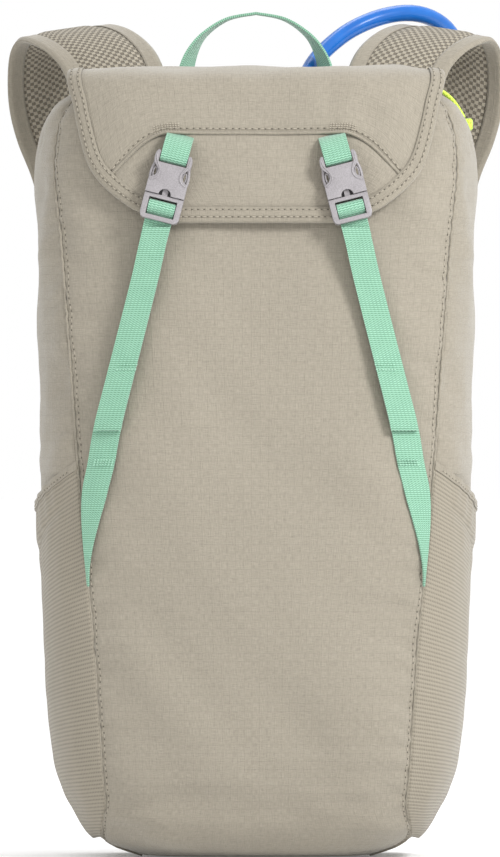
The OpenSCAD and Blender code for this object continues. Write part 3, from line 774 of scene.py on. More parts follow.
class Shader:
    """A material under construction."""

    def __init__(self, name: str) -> None:
        """Start an empty material of that name."""
        self.material = bpy.data.materials.new(name)
        self.material.use_nodes = True
        self.tree = self.material.node_tree
        self.tree.nodes.clear()

    def node(self, kind: str, settings: dict[str, Any], inputs: dict[Any, Any]) -> bpy.types.Node:
        """Add a node.

        Args:
            kind: The node's type.
            settings: Its own settings, which are made first.
            inputs: Values or wires for its sockets, by name or number.

        Returns:
            The node.
        """
        made = self.tree.nodes.new(kind)
        for key, value in settings.items():
            setattr(made, key, value)
        for key, value in inputs.items():
            if isinstance(value, Wire):
                self.tree.links.new(value.socket, made.inputs[key])
            else:
                made.inputs[key].default_value = value
        return made

    def weave(self) -> tuple[Wire, Wire]:
        """Metres across and along the cloth."""
        chart = self.node("ShaderNodeUVMap", {"uv_map": "Weave"}, {})
        parts = self.node("ShaderNodeSeparateXYZ", {}, {0: Wire(self, chart.outputs[0])})
        return Wire(self, parts.outputs[0]), Wire(self, parts.outputs[1])

    def where(self) -> Wire:
        """The place on the object, in metres."""
        made = self.node("ShaderNodeTexCoord", {}, {})
        return Wire(self, made.outputs["Object"])

    def mottle(self, scale: float, detail: float = 2.0, at: Wire | None = None) -> Wire:
        """Even unevenness from 0 to 1.

        Args:
            scale: Features a metre.
            detail: How much finer unevenness is in it.
            at: The place it is read at, or the place on the object.

        Returns:
            The unevenness.
        """
        made = self.node(
            "ShaderNodeTexNoise", {}, {"Vector": at or self.where(), "Scale": scale, "Detail": detail}
        )
        return Wire(self, made.outputs[0])

    def streaks(self, across: Wire, along: Wire, fine: float, long: float) -> Wire:
        """Threads: fine across and long along, in threads and lengths a metre."""
        joined = self.node("ShaderNodeCombineXYZ", {}, {0: across * fine, 1: along * long, 2: 0.0})
        return self.mottle(1.0, 1.0, Wire(self, joined.outputs[0]))

    def blend(self, share: "float | Wire", start: "Colour | Wire", end: "Colour | Wire") -> Wire:
        """Colour that goes from start to end with the share."""
        filled = [value if isinstance(value, Wire) else (*value, 1.0) for value in (start, end)]
        made = self.node(
            "ShaderNodeMix", {"data_type": "RGBA"}, {0: share, 6: filled[0], 7: filled[1]}
        )
        return Wire(self, made.outputs[2])

    def bump(self, height: Wire, depth: float, strength: float = 1.0) -> Wire:
        """Normal of a surface with that height map, depth in metres."""
        made = self.node(
            "ShaderNodeBump", {}, {"Strength": strength, "Distance": depth, "Height": height}
        )
        return Wire(self, made.outputs[0])

    def finish(self, **inputs: Any) -> bpy.types.Material:
        """Close the material with a Principled shader.

        Args:
            **inputs: Its sockets, with _ for a space.

        Returns:
            The material.
        """
        named = {key.replace("_", " "): value for key, value in inputs.items()}
        filled = {
            key: (*value, 1.0) if isinstance(value, tuple) and len(value) == 3 else value
            for key, value in named.items()
        }
        surface = self.node("ShaderNodeBsdfPrincipled", {}, filled)
        self.node("ShaderNodeOutputMaterial", {}, {"Surface": Wire(self, surface.outputs[0])})
        return self.material


# ---------------------------------------------------------------- finishes


@dataclass(frozen=True)
class Ripstop:
    """Light heathered nylon with a faint grid of thicker threads."""

    name: str
    light: Colour
    dark: Colour
    thread: float = 2300.0
    square: float = 0.0046
    grid: float = 0.22

    def build(self) -> bpy.types.Material:
        """The material."""
        shader = Shader(self.name)
        across, along = shader.weave()
        warp = shader.streaks(across, along, self.thread, 240.0)
        weft = shader.streaks(across, along, 240.0, self.thread)
        heather = (warp + weft) * 0.5
        lines = (across.wave(self.square) ** 30.0) + (along.wave(self.square) ** 30.0)
        cloudy = shader.mottle(9.0, 3.0)
        shade = heather.between(0.36, 0.64) * 0.72 + cloudy * 0.28
        colour = shader.blend(shade, self.dark, self.light)
        colour = shader.blend(lines * self.grid, colour, self.dark)
        height = heather.between(0.3, 0.7) + lines * 0.5
        return shader.finish(
            Base_Color=colour,
            Roughness=heather * 0.2 + 0.62,
            Sheen_Weight=0.25,
            Sheen_Roughness=0.5,
            Specular_IOR_Level=0.3,
            Normal=shader.bump(height, 0.0003, 0.55),
        )


@dataclass(frozen=True)
class RibbedKnit:
    """Stretch knit with ribs across and small holes between them, with painted shade in the holes and the valleys
    between the ribs.
    """

    name: str
    light: Colour
    dark: Colour
    rib: float = 0.0021
    hole: float = 0.00125

    def build(self) -> bpy.types.Material:
        """The material."""
        shader = Shader(self.name)
        across, along = shader.weave()
        rib = along.wave(self.rib)
        loops = across.wave(self.hole)
        fuzz = shader.mottle(900.0, 2.0)
        # Painted shade: the holes and the valleys between the ribs are darkened; fuzz is random tone
        holes = ((1 - rib) * loops).between(0.42, 0.85)
        colour = shader.blend(rib * 0.55 + fuzz * 0.45, self.dark, self.light)
        colour = shader.blend(holes * 0.5, colour, tuple(0.35 * c for c in self.dark))
        return shader.finish(
            Base_Color=colour,
            Roughness=0.88,
            Sheen_Weight=0.2,
            Specular_IOR_Level=0.2,
            Normal=shader.bump(rib * 0.7 + loops * 0.3, 0.0004, 0.7),
        )


@dataclass(frozen=True)
class SpacerMesh:
    """Thick open mesh with rows of staggered oval holes, painted dark as the shade inside them."""

    name: str
    light: Colour
    dark: Colour
    hole_across: float = 0.0044
    hole_along: float = 0.0042

    def build(self) -> bpy.types.Material:
        """The material."""
        shader = Shader(self.name)
        across, along = shader.weave()
        swing = (across.wave(self.hole_across) - 0.5) * (along.wave(self.hole_along) - 0.5) * 4
        holes = swing.between(-0.1, 0.3)
        knit = across.wave(0.0011) * along.wave(0.0009)
        fuzz = shader.mottle(700.0, 2.0)
        colour = shader.blend(knit * 0.5 + fuzz * 0.5, self.light, tuple(0.8 * c for c in self.light))
        # Painted shade: the holes take the dark colour of the shade inside them
        colour = shader.blend(holes, colour, self.dark)
        return shader.finish(
            Base_Color=colour,
            Roughness=0.9,
            Sheen_Weight=0.15,
            Specular_IOR_Level=0.2,
            Normal=shader.bump(knit * 0.15 - holes, 0.0012, 0.9),
        )


@dataclass(frozen=True)
class Webbing:
    """Woven tape with ribs across it and a fine weave along it, with painted shade in the grooves between the ribs."""

    name: str
    light: Colour
    dark: Colour
    rib: float = 0.00118
    strand: float = 0.0021

    def build(self) -> bpy.types.Material:
        """The material."""
        shader = Shader(self.name)
        across, along = shader.weave()
        strands = across.wave(self.strand)
        rib = (along + strands * (0.3 * self.rib)).wave(self.rib)
        worn = shader.mottle(160.0, 3.0)
        # Painted shade: the grooves between the ribs and strands take the dark colour; the worn mottle is real wear
        tone = (rib ** 0.8) * 0.78 + strands * 0.14 + worn * 0.16
        return shader.finish(
            Base_Color=shader.blend(tone, self.dark, self.light),
            Roughness=worn * 0.15 + 0.6,
            Sheen_Weight=0.3,
            Specular_IOR_Level=0.35,
            Normal=shader.bump(rib * 0.8 + strands * 0.25, 0.00035, 0.8),
        )


@dataclass(frozen=True)
class Moulded:
    """Moulded plastic: fine speckle and, on a matt one, a spark texture."""

    name: str
    light: Colour
    dark: Colour
    roughness: float = 0.42
    grain: float = 1500.0
    coat: float = 0.0

    def build(self) -> bpy.types.Material:
        """The material."""
        shader = Shader(self.name)
        grain = shader.mottle(self.grain, 2.0)
        rubbed = shader.mottle(70.0, 3.0)
        tone = grain.between(0.35, 0.65) * 0.5 + rubbed * 0.5
        return shader.finish(
            Base_Color=shader.blend(tone, self.dark, self.light),
            Roughness=rubbed * 0.16 + (self.roughness - 0.08),
            Coat_Weight=self.coat,
            Coat_Roughness=0.08,
            Specular_IOR_Level=0.5,
            Normal=shader.bump(grain, 0.00006, 0.35),
        )


@dataclass(frozen=True)
class Braid:
    """Braided cord: two crossing sets of strands, with painted shade in the gaps between them."""

    name: str
    light: Colour
    dark: Colour
    turn: float = 0.0023
    lay: float = 0.0026

    def build(self) -> bpy.types.Material:
        """The material."""
        shader = Shader(self.name)
        across, along = shader.weave()
        left = (across * (1 / self.turn) + along * (1 / self.lay)).wave(1.0)
        right = (across * (1 / self.turn) - along * (1 / self.lay)).wave(1.0)
        # Painted shade: where neither strand rises the colour goes to dark
        weave = left.math("MAXIMUM", left, right)
        return shader.finish(
            Base_Color=shader.blend(weave, self.dark, self.light),
            Roughness=0.7,
            Sheen_Weight=0.2,
            Normal=shader.bump(weave, 0.00025, 0.8),
        )


@dataclass(frozen=True)
class Film:
    """Clear soft film with a faint blue tint and a fine matt grain."""

    name: str
    tint: Colour

    def build(self) -> bpy.types.Material:
        """The material."""
        shader = Shader(self.name)
        creases = shader.mottle(60.0, 4.0)
        tint = shader.blend(creases * 0.5, self.tint, tuple(0.8 * c for c in self.tint))
        return shader.finish(
            Base_Color=tint,
            Roughness=creases * 0.2 + 0.12,
            Transmission_Weight=0.25,
            IOR=1.4,
            Normal=shader.bump(creases, 0.0012, 0.35),
        )


CLOTH_LIGHT: Colour = (0.305, 0.275, 0.22)
CLOTH_DARK: Colour = (0.212, 0.189, 0.149)


class Finishes:
    """Every material of the pack, made once."""

    def __init__(self) -> None:
        """Build the materials."""
        self.ripstop = Ripstop("Sand_ripstop", CLOTH_LIGHT, CLOTH_DARK).build()
        self.binding = Ripstop(
            "Sand_binding_tape", (0.292, 0.262, 0.208), (0.208, 0.186, 0.146), grid=0.0
        ).build()
        self.lining = Ripstop("Grey_lining", (0.3, 0.295, 0.285), (0.2, 0.2, 0.195), grid=0.1).build()
        # The knit's dark colour is the painted shade in its holes and between its ribs
        self.knit = RibbedKnit("Sand_stretch_knit", (0.3, 0.269, 0.213), (0.216, 0.192, 0.15)).build()
        # The spacer mesh's dark colour is the painted shade inside its holes
        self.mesh = SpacerMesh("Sand_spacer_mesh", (0.36, 0.322, 0.255), (0.15, 0.131, 0.1)).build()
        # The webbings' dark colours are the painted shade in their grooves
        self.mint = Webbing("Mint_webbing", (0.285, 0.52, 0.38), (0.06, 0.19, 0.115)).build()
        self.dark_web = Webbing("Charcoal_webbing", (0.07, 0.072, 0.078), (0.02, 0.021, 0.024)).build()
        self.grey = Moulded("Pinkish_grey_plastic", (0.31, 0.293, 0.303), (0.2, 0.186, 0.194)).build()
        self.charcoal = Moulded("Charcoal_plastic", (0.055, 0.057, 0.062), (0.03, 0.031, 0.034)).build()
        self.blue = Moulded(
            "Blue_moulded_plastic", (0.03, 0.2, 0.72), (0.015, 0.12, 0.5), 0.25, 400.0, 0.5
        ).build()
        self.hose = Moulded(
            "Blue_glossy_tube", (0.002, 0.14, 0.52), (0.001, 0.09, 0.38), 0.22, 60.0, 0.15
        ).build()
        self.silicone = Moulded(
            "Blue_bite_silicone", (0.22, 0.5, 0.86), (0.16, 0.4, 0.74), 0.5, 300.0
        ).build()
        self.rubber = Moulded("White_seal_rubber", (0.8, 0.79, 0.75), (0.7, 0.69, 0.65), 0.55).build()
        self.steel = Moulded("Spring_steel", (0.6, 0.6, 0.6), (0.42, 0.42, 0.42), 0.25, 900.0).build()
        # The braid's dark colour is the painted shade between its strands
        self.lime = Braid("Lime_braided_cord", (0.62, 0.86, 0.09), (0.33, 0.52, 0.02)).build()
        self.thread = Moulded("Sand_sewing_thread", (0.37, 0.333, 0.268), (0.28, 0.25, 0.2), 0.75).build()
        # Painted shade: dark dots for the shade in the needle holes
        self.needle_hole = Moulded("Needle_holes", (0.13, 0.115, 0.09), (0.09, 0.08, 0.06), 0.9).build()
        self.mint_thread = Moulded("Mint_sewing_thread", (0.36, 0.6, 0.46), (0.22, 0.43, 0.31), 0.75).build()
        self.film = Film("Clear_blue_film", (0.62, 0.76, 0.9)).build()


def dress(
    piece: bpy.types.Object,
    finish: bpy.types.Material,
    body: str,
    slot: str,
    stands_for: Sequence[str] = (),
) -> bpy.types.Object:
    """Give a piece its finish, the body it moves with and the nodes it stands for.

    Args:
        piece: The finished piece.
        finish: Its material.
        body: The body it rides on.
        slot: The record's material slot.
        stands_for: CAD nodes that it replaces.

    Returns:
        The piece.
    """
    piece.data.materials.clear()
    piece.data.materials.append(finish)
    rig.ride(piece, body)
    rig.slot(piece, slot)
    if stands_for:
        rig.replaces(piece, *stands_for)
    log.info("%s rides on %s", piece.name, body)
    return piece


def sew(stitch: Stitch, name: str, lines: Sequence[Any], finishes: Finishes, body: str = "bag") -> None:
    """Rows of stitches and dark dots of painted shade for the needle holes between them.

    Args:
        stitch: The stitch.
        name: The stitches' name.
        lines: For each row, its points and the outward direction at each.
        finishes: The materials.
        body: The body that the rows ride on.
    """
    dress(stitch.row(name, lines), finishes.thread, body, "ripstop_fabric")
    # The needle holes are dark dots of painted shade
    dress(stitch.holes.row(f"{name}_holes", lines), finishes.needle_hole, body, "ripstop_fabric")


# ---------------------------------------------------------------- studio


@dataclass
class Studio:
    """Camera far in front of the bag, pale floor and soft lights."""

    distance: float = 8.0
    eye_height: float = 0.2369
    aside: float = -0.0033
    picture_height: float = 0.4761
    sensor: float = 36.0

    def camera(self) -> None:
        """Set up the camera straight in front."""
        data = bpy.data.cameras.new("Camera")
        data.sensor_width = self.sensor
        data.lens = self.sensor * self.distance / self.picture_height
        data.clip_start, data.clip_end = 0.1, 60.0
        camera = bpy.data.objects.new("Camera", data)
        camera.location = (self.aside, -self.distance, self.eye_height)
        camera.rotation_euler = (math.pi / 2, 0, 0)
        bpy.context.scene.collection.objects.link(camera)
        bpy.context.scene.camera = camera

    def light(self, name: str, place: Vector, size: float, watts: float) -> None:
        """A soft square light that points at the middle of the bag."""
        data = bpy.data.lights.new(name, "AREA")
        data.size, data.energy = size, watts
        lamp = bpy.data.objects.new(name, data)
        lamp.location = place
        lamp.rotation_euler = (Vector((0, 0, 0.22)) - place).to_track_quat("-Z", "Y").to_euler()
        bpy.context.scene.collection.objects.link(lamp)

    def floor(self) -> None:
        """A wide pale floor, a hair below the base."""
        bm = bmesh.new()
        bmesh.ops.create_circle(bm, cap_ends=True, segments=64, radius=40.0)
        bmesh.ops.translate(bm, verts=bm.verts, vec=(0, 0, -0.0004))
        ground = make_object("Floor", bm)
        shader = Shader("Pale_floor")
        pale = shader.finish(
            Base_Color=(0.92, 0.92, 0.92), Roughness=0.9,
            Emission_Color=(1.0, 1.0, 1.0), Emission_Strength=0.12,
        )
        ground.data.materials.append(pale)
        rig.stage(ground)

    def build(self) -> None:
        """Camera, floor, sky and lights."""
        self.camera()
        self.floor()
        world = bpy.data.worlds.new("Sky")
        world.use_nodes = True
        sky = world.node_tree.nodes["Background"]
        sky.inputs["Color"].default_value = (1.0, 1.0, 1.0, 1.0)
        sky.inputs["Strength"].default_value = 1.0
        bpy.context.scene.world = world
        bpy.context.scene.view_settings.view_transform = "Standard"
        self.light("Key", Vector((0.95, -1.05, 1.15)), 0.4, 23.0)
        self.light("Fill", Vector((-1.5, -1.7, 1.0)), 1.2, 4.0)
        self.light("Top", Vector((0.1, 0.9, 1.9)), 1.0, 8.0)
        log.info("camera and lights are in place")


# ---------------------------------------------------------------- bag


def mirrored(place: Place, side: Side) -> Place:
    """A cloth's place on a side, from that on the right, with its outside kept out."""
    if side is Side.RIGHT:
        return place
    return lambda across, up: side.put(place(1 - across, up))


def mirrored_line(line: Sequence[Vector], side: Side) -> list[Vector]:
    """A line on a side, from that on the right."""
    return [side.put(point) for point in line]


@dataclass
class Shell:
    """The bag's walls, base, rim and gathered throat."""

    finishes: Finishes
    wall: float = 1.2
    lowest: float = 1.0
    pocket_mouth: float = 212.0
    stitch: Stitch = field(default_factory=lambda: Stitch(3.6, 2.7, 0.7, 0.42))

    def relief(self, panel: Panel, share: float, z: float) -> float:
        """How far the cloth stands off its smooth shape.

        Args:
            panel: The panel.
            share: Share of the way from seam to seam.
            z: The height.

        Returns:
            The distance in millimetres.
        """
        at = panel.at(share, z)
        length = {Panel.FRONT: 240.0, Panel.SIDE: 120.0, Panel.BACK: 200.0}[panel]
        edge = min(share, 1 - share) * length
        ends = step(z, 0, 14) * (1 - step(z, 412, 424))
        sway = 3.0 * ripple(at, 34, 5)
        pucker = 0.42 * math.exp(-edge / 5) * math.sin(TURN * z / 7.2 + sway)
        inside = 1 - math.exp(-edge / 7)
        soft = 3.2 * ripple(at, 66, 1) + 2.0 * ripple(Vector((at.x + 0.6 * z, at.y, 0.5 * z)), 30, 2)
        drawn = ripple(Vector((0.22 * at.x, 0.3 * at.y, z + 0.25 * abs(at.x))), 8, 11)
        pucker += 3.6 * drawn * math.exp(-edge / 20) * (1 - math.exp(-edge / 3))
        lows = 1.9 * hump(z, 34, 26) * ripple(Vector((0.35 * at.x, 0.5 * at.y, 1.5 * z)), 15, 3)
        if panel is Panel.SIDE:
            lows += 0.9 * ripple(Vector((at.x, at.y, 0.3 * at.z)), 16, 7) * step(z, 190, 300)
            lows -= 2.6 * hump(z, 399, 9) * hump(share, 0.3, 0.06)
        free = 1 - 0.85 * self.pressed(panel, at)
        off = ends * free * (pucker + inside * (soft + lows))
        return min(off, 0.0) if panel is Panel.SIDE and z < self.pocket_mouth else off

    def pressed(self, panel: Panel, at: Vector) -> float:
        """Share of its ease that the cloth loses where a front strap lies over it."""
        if panel is not Panel.FRONT or not 150 < at.z < 350:
            return 0.0
        strap = 53.8 + 0.25 * (350.5 - at.z)
        return hump(abs(at.x), strap, 8)

    def surface(self, panel: Panel) -> Place:
        """Outer surface of a panel, the side panel's on the right."""

        def place(share: float, up: float) -> Vector:
            """Point of the panel with its wrinkles."""
            z = self.lowest + (BAG.height - self.lowest) * up**1.15
            at = panel.at(share, z)
            return at + self.relief(panel, share, z) * BAG.out(at)

        return place

    def panels(self) -> None:
        """Front, side and back panels."""
        front = sewn("Front_panel", self.surface(Panel.FRONT), 130, 210)
        dress(thicken(front, self.wall), self.finishes.ripstop, "bag", "ripstop_fabric", ["front_panel"])
        for side in Side:
            place = mirrored(self.surface(Panel.SIDE), side)
            made = sewn(f"Side_panel_{side.word}", place, 64, 210)
            dress(
                thicken(made, self.wall), self.finishes.ripstop, "bag", "ripstop_fabric",
                [f"side_panel_{side.word}"],
            )
        back = sewn("Back_panel", self.surface(Panel.BACK), 90, 120)
        dress(thicken(back, self.wall), self.finishes.ripstop, "bag", "ripstop_fabric", ["back_panel"])

    def base(self) -> None:
        """Flat base that meets the walls' lower edge."""

        def place(across: float, up: float) -> Vector:
            """Point of the base, which curves up to the walls."""
            x, y = 2 * across - 1, 1 - 2 * up
            size = max(abs(x), abs(y), 1e-6)
            rim = BAG.on_section(math.atan2(y, x), self.lowest)
            return Vector((rim.x * size, rim.y * size, self.lowest * (0.3 + 0.7 * size**10)))

        made = sewn("Bottom_panel", place, 60, 60)
        dress(thicken(made, 1.0), self.finishes.ripstop, "bag", "ripstop_fabric", ["bottom_panel"])

    def seams(self) -> None:
        """Ridges and stitches along the panels' seams."""
        for side in Side:
            ahead = mirrored(self.surface(Panel.SIDE), side)
            edge = 0.0 if side is Side.RIGHT else 1.0
            for name, share in (("Front_seam", edge), ("Back_seam", 1 - edge)):
                spots = [(share, k / 150) for k in range(151)]
                line, _ = on_cloth(ahead, spots, 0.25)
                made = tube(f"{name}_{side.word}", line, 0.75, 6)
                dress(made, self.finishes.binding, "bag", "ripstop_fabric")
            front = self.surface(Panel.FRONT)
            share = 0.5 + side.value * (0.5 - 3.2 / 240)
            rows = [on_cloth(front, [(share, 0.02 + 0.97 * k / 200) for k in range(201)], 0.12)]
            sew(self.stitch, f"Front_seam_stitches_{side.word}", rows, self.finishes)

    def throat(self) -> None:
        """Gathered collar that sags in from the rim, and the rim's binding."""
        rim = [BAG.on_section(TURN * k / 120 - 0.3, BAG.height - 0.6) for k in range(121)]
        edge = tube("Rim_binding", rim, 1.5, 8)
        dress(edge, self.finishes.binding, "bag", "ripstop_fabric")

        def place(around: float, inward: float) -> Vector:
            """Point of the collar, from the rim inwards."""
            angle = TURN * around
            at = BAG.on_section(angle, BAG.height)
            waves = inward**1.3 * math.sin(52 * angle + 2 * ripple(at, 40, 3))
            share = 0.985 - 0.315 * inward + 0.012 * waves
            drop = 1.0 + 7.0 * inward**1.4 - 1.3 * waves
            return Vector((at.x * share, at.y * share, BAG.height - drop))

        collar = sewn("Throat_collar", place, 416, 14, closed=True)
        dress(thicken(collar, 0.5), self.finishes.lining, "bag", "ripstop_fabric", ["throat_collar"])
        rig.sheet(collar, (0.6, 0.03), "gathered", rests_on=["Front_panel", "Back_panel"])

    def port(self) -> None:
        """Stitched welt round the hole that the drinking tube leaves by."""
        way = Vector((0, 0.6, 0.8))
        across = Vector((1, 0, 0))
        up = way.cross(across)
        middle = Vector((28, 70, 408)) + 2.5 * way
        ring = [
            middle + 6.2 * (math.cos(TURN * k / 36) * across + math.sin(TURN * k / 36) * up)
            for k in range(37)
        ]
        dress(tube("Tube_port_welt", ring, 1.5, 8), self.finishes.binding, "bag", "ripstop_fabric")

    def build(self) -> None:
        """Every piece of the shell."""
        self.panels()
        self.base()
        self.seams()
        self.throat()
        self.port()


@dataclass
class SidePocket:
    """Stretch-knit pocket on a side panel, with a gathered mouth and a bound edge."""

    finishes: Finishes
    side: Side
    low: float = 12.0

    def top(self, share: float) -> float:
        """Height of the mouth."""
        return 219 - 24 * math.sin(math.pi / 2 * min(1, 1.9 * share))

    def surface(self, share: float, up: float) -> Vector:
        """Outer surface on the right side."""
        top = self.top(share)
        z = self.low + (top - self.low) * up
        at = Panel.SIDE.at(share, z)
        edge = min(share, 1 - share) * 120
        crease_z = top - 17 - 16 * share
        below = step(share, 0.0, 0.08) * (1 - step(share, 0.42, 0.62))
        crease = -1.9 * hump(z, crease_z, 2.6) * below
        band = 0.9 * step(z, crease_z, crease_z + 7) * step(share, 0.05, 0.3)
        ruffle = 0.3 * up**6 * math.sin(TURN * share * 11 + 3 * ripple(at, 30, 8)) * step(edge, 0, 14)
        soft = (1.1 * ripple(at, 42, 4) + 0.5 * ripple(at, 15, 6)) * step(edge, 0, 16)
        off = 0.5 + 1.0 * step(edge, 0, 16) + soft + crease + band + ruffle
        return at + max(0.35, off) * BAG.out(at)

    def build(self) -> None:
        """The pocket, its hem and the hem's stitches."""
        word = self.side.word
        place = mirrored(self.surface, self.side)
        cloth = thicken(sewn(f"Side_pocket_{word}", place, 80, 130), 0.8, 0.0)
        dress(cloth, self.finishes.knit, "bag", "air_mesh", [f"side_pocket_{word}"])
        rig.sheet(cloth, (0.142, 0.19), "stretched", rests_on=[f"Side_panel_{word}"])
        share = 4.5 / 200

        def hem(across: float, up: float) -> Vector:
            """Point of the binding along the mouth."""
            level = 1 - share * (1 - up)
            return place(across, level) + 0.75 * normal_of(place, across, level)

        made = soften(thicken(sewn(f"Pocket_hem_{word}", hem, 80, 4), 0.7, 0.0), 0.2)
        dress(made, self.finishes.binding, "bag", "ripstop_fabric", [f"pocket_hem_{word}"])
        rows = [on_cloth(hem, [(0.02 + 0.96 * k / 80, 0.35) for k in range(81)], 0.4)]
        sew(Stitch(2.9, 2.2, 0.6, 0.35), f"Pocket_hem_stitches_{word}", rows, self.finishes)


# ---------------------------------------------------------------- lid


@dataclass
class Lid:
    """Padded lid in two panels, with its bound edge."""

    finishes: Finishes
    gap: float = 1.2
    pad: float = 2.4
    tape: float = 7.6
    # Rows from hinge to lower edge: y, z, half width, share of the front's curvature
    rows: Route = Route((
        (69, 430, 98, 0), (52, 431.6, 99, 0), (32, 433, 100, 0), (8, 434.2, 101, 0),
        (-16, 434.8, 102, 0.1), (-38, 434.6, 102.5, 0.35), (-54, 432.4, 103, 0.7),
        (-63.5, 427, 102.5, 1), (-66.5, 416, 99.5, 1), (-69, 401, 96.5, 1), (-72, 383, 91.5, 1),
        (-74, 372, 84, 1), (-75.8, 362, 72.5, 1), (-76.8, 356, 62, 1), (-77.4, 351, 45, 1),
    ))

    @property
    def last(self) -> int:
        """Number of the lower edge's row."""
        return len(self.rows.points) - 1

    def under(self, row: float, share: float) -> Vector:
        """Underside of the lid, share -1 at its left edge and 1 at its right one."""
        y, z, half, curved = self.rows.on_step(row)
        x = share * half
        bow = 68 * (1 - (1 - (abs(x) / 126) ** 3.4) ** (1 / 3.4))
        drop = 1.6 * share**2 + 1.6 * share**8
        return Vector((x, y + curved * bow - self.gap, z - (1 - curved) * drop))

    def out(self, row: float, share: float) -> Vector:
        """Outward direction of the lid."""
        small = 0.05
        right = self.under(row, min(1, share + small)) - self.under(row, max(-1, share - small))
        above = self.under(max(0, row - small), share) - self.under(min(self.last, row + small), share)
        return right.cross(above).normalized()

    def seam(self, share: float) -> float:
        """Row of the seam between the two panels: level in the middle, falling in an arc at both sides."""
        return 9.12 + 1.13 * (max(0.0, abs(share) - 0.5) / 0.34) ** 1.6

    def surface(self, row: float, share: float) -> Vector:
        """Outer surface of the lid."""
        at = self.under(row, share)
        from_seam = abs(row - self.seam(share)) * 16
        edge = min((1 - abs(share)) * 100, (self.last - row) * 7, 40)
        soft = 2.3 * ripple(at, 52, 9) + 1.0 * ripple(Vector((at.x + at.z, at.y, 0.5 * at.z)), 21, 4)
        dimple = 1.6 * hump(at.x, 62, 9) * hump(at.z, 409, 10) + 1.1 * hump(at.x, 41, 6) * hump(at.z, 416, 9)
        off = self.pad + 0.7 * step(edge, 3, 22) + step(edge, 6, 26) * (soft - dimple)
        groove = 0.85 * hump(from_seam, 0, 2.2)
        return at + (off - groove) * self.out(row, share)

    def top_place(self, across: float, up: float) -> Vector:
        """Top panel, from the seam up and back to the hinge."""
        share = 2 * across - 1
        return self.surface(self.seam(share) * (1 - up), share)

    def front_place(self, across: float, up: float) -> Vector:
        """Front panel, from the lower edge up to the seam."""
        share = 2 * across - 1
        return self.surface(self.last + (self.seam(share) - self.last) * up, share)

    def panels(self) -> None:
        """The two padded panels."""
        top = sewn("Lid_top_panel", self.top_place, 120, 110)
        front = sewn("Lid_front_panel", self.front_place, 120, 50)
        for piece, node in ((top, "lid_top_panel"), (front, "lid_front_panel")):
            thicken(piece, self.pad)
            dress(piece, self.finishes.ripstop, "lid", "ripstop_fabric", [node])
            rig.padded(piece, 0.15)

    def edge(self) -> list[tuple[float, float]]:
        """Row and share all along the lid's free edge, from the hinge down and back up."""
        down = [(1 + (self.last - 1) * k / 90, -1.0) for k in range(90)]
        along = [(float(self.last), -1 + 2 * k / 40) for k in range(41)]
        return down + along + [(row, 1.0) for row, _ in reversed(down)]

    def binding(self) -> None:
        """Tape folded round the edge, with two rows of stitches."""
        rough = [self.under(row, share) + self.pad * self.out(row, share) for row, share in self.edge()]
        ups = [self.out(row, share) for row, share in self.edge()]
        for _ in range(3):
            rough = [rough[0]] + [
                (a + 2 * b + c) / 4 for a, b, c in zip(rough, rough[1:], rough[2:])
            ] + [rough[-1]]
        inward = [up.cross(heading(rough, k)).normalized() for k, up in enumerate(ups)]
        if inward[len(inward) // 2].z < 0:
            inward = [-way for way in inward]
        # Across the tape, from its inner edge on top round to that below: distance in, height
        fold = Route((
            (self.tape, 0.75), (self.tape * 0.6, 0.95), (2.5, 0.85), (0, 0.45), (-0.9, -0.7),
            (-0.9, -2.0), (0.4, -3.0), (3, -3.1), (self.tape, -2.9),
        ))
        steps = len(fold.points) - 1

        def place(across: float, along: float) -> Vector:
            """Point of the folded tape."""
            index = round(along * (len(rough) - 1))
            way_in, height = fold.on_step(across * steps)
            return rough[index] + way_in * inward[index] + height * ups[index]

        made = thicken(sewn("Lid_binding", place, 16, len(rough) - 1), 0.5, 0.0)
        dress(made, self.finishes.binding, "lid", "ripstop_fabric", ["lid_binding"])
        rows = [
            (
                [p + way_in * inward[k] + 1.35 * ups[k] for k, p in enumerate(rough)],
                ups,
            )
            for way_in in (1.9, self.tape - 1.6)
        ]
        sew(Stitch(3.4, 2.5, 0.7, 0.5), "Lid_binding_stitches", rows, self.finishes, "lid")

    def seam_stitches(self) -> None:
        """Row of stitches above the seam between the panels."""
        spots = [-0.93 + 1.86 * k / 160 for k in range(161)]
        seam_row = self.above_seam(spots, 0.16)
        sew(Stitch(3.6, 2.7, 0.75, 0.5), "Lid_seam_stitches", [seam_row], self.finishes, "lid")
        tacks = []
        for middle in (-0.5, 0.5):
            for above in (0.1, 0.17, 0.24, 0.31):
                tacks.append(self.above_seam([middle - 0.085 + 0.17 * k / 12 for k in range(13)], above))
        tack = Stitch(1.5, 1.4, 0.9, 0.6).row("Lid_bartacks", tacks)
        dress(tack, self.finishes.thread, "lid", "ripstop_fabric")

    def above_seam(self, shares: Sequence[float], rows: float) -> tuple[list[Vector], list[Vector]]:
        """Points and outward directions along the seam, some rows above it."""
        spots = [(self.seam(share) - rows, share) for share in shares]
        outs = [self.out(*spot) for spot in spots]
        return [self.surface(*spot) + 0.2 * out for spot, out in zip(spots, outs)], outs

    def welt(self) -> None:
        """Folded edge of the top panel, which lies over the ends of the lid straps."""
        line = []
        for k in range(201):
            share = -0.94 + 1.88 * k / 200
            row = self.seam(share) - 0.02
            over_strap = 1.9 * hump(abs(share), 0.5, 0.08)
            line.append(self.surface(row, share) + (0.35 + over_strap) * self.out(row, share))
        dress(tube("Lid_seam_welt", line, 0.95, 8), self.finishes.binding, "lid", "ripstop_fabric")

    def build(self) -> None:
        """Every piece of the lid's cloth."""
        self.panels()
        self.binding()
        self.welt()
        self.seam_stitches()


# ---------------------------------------------------------------- buckles and their webbing


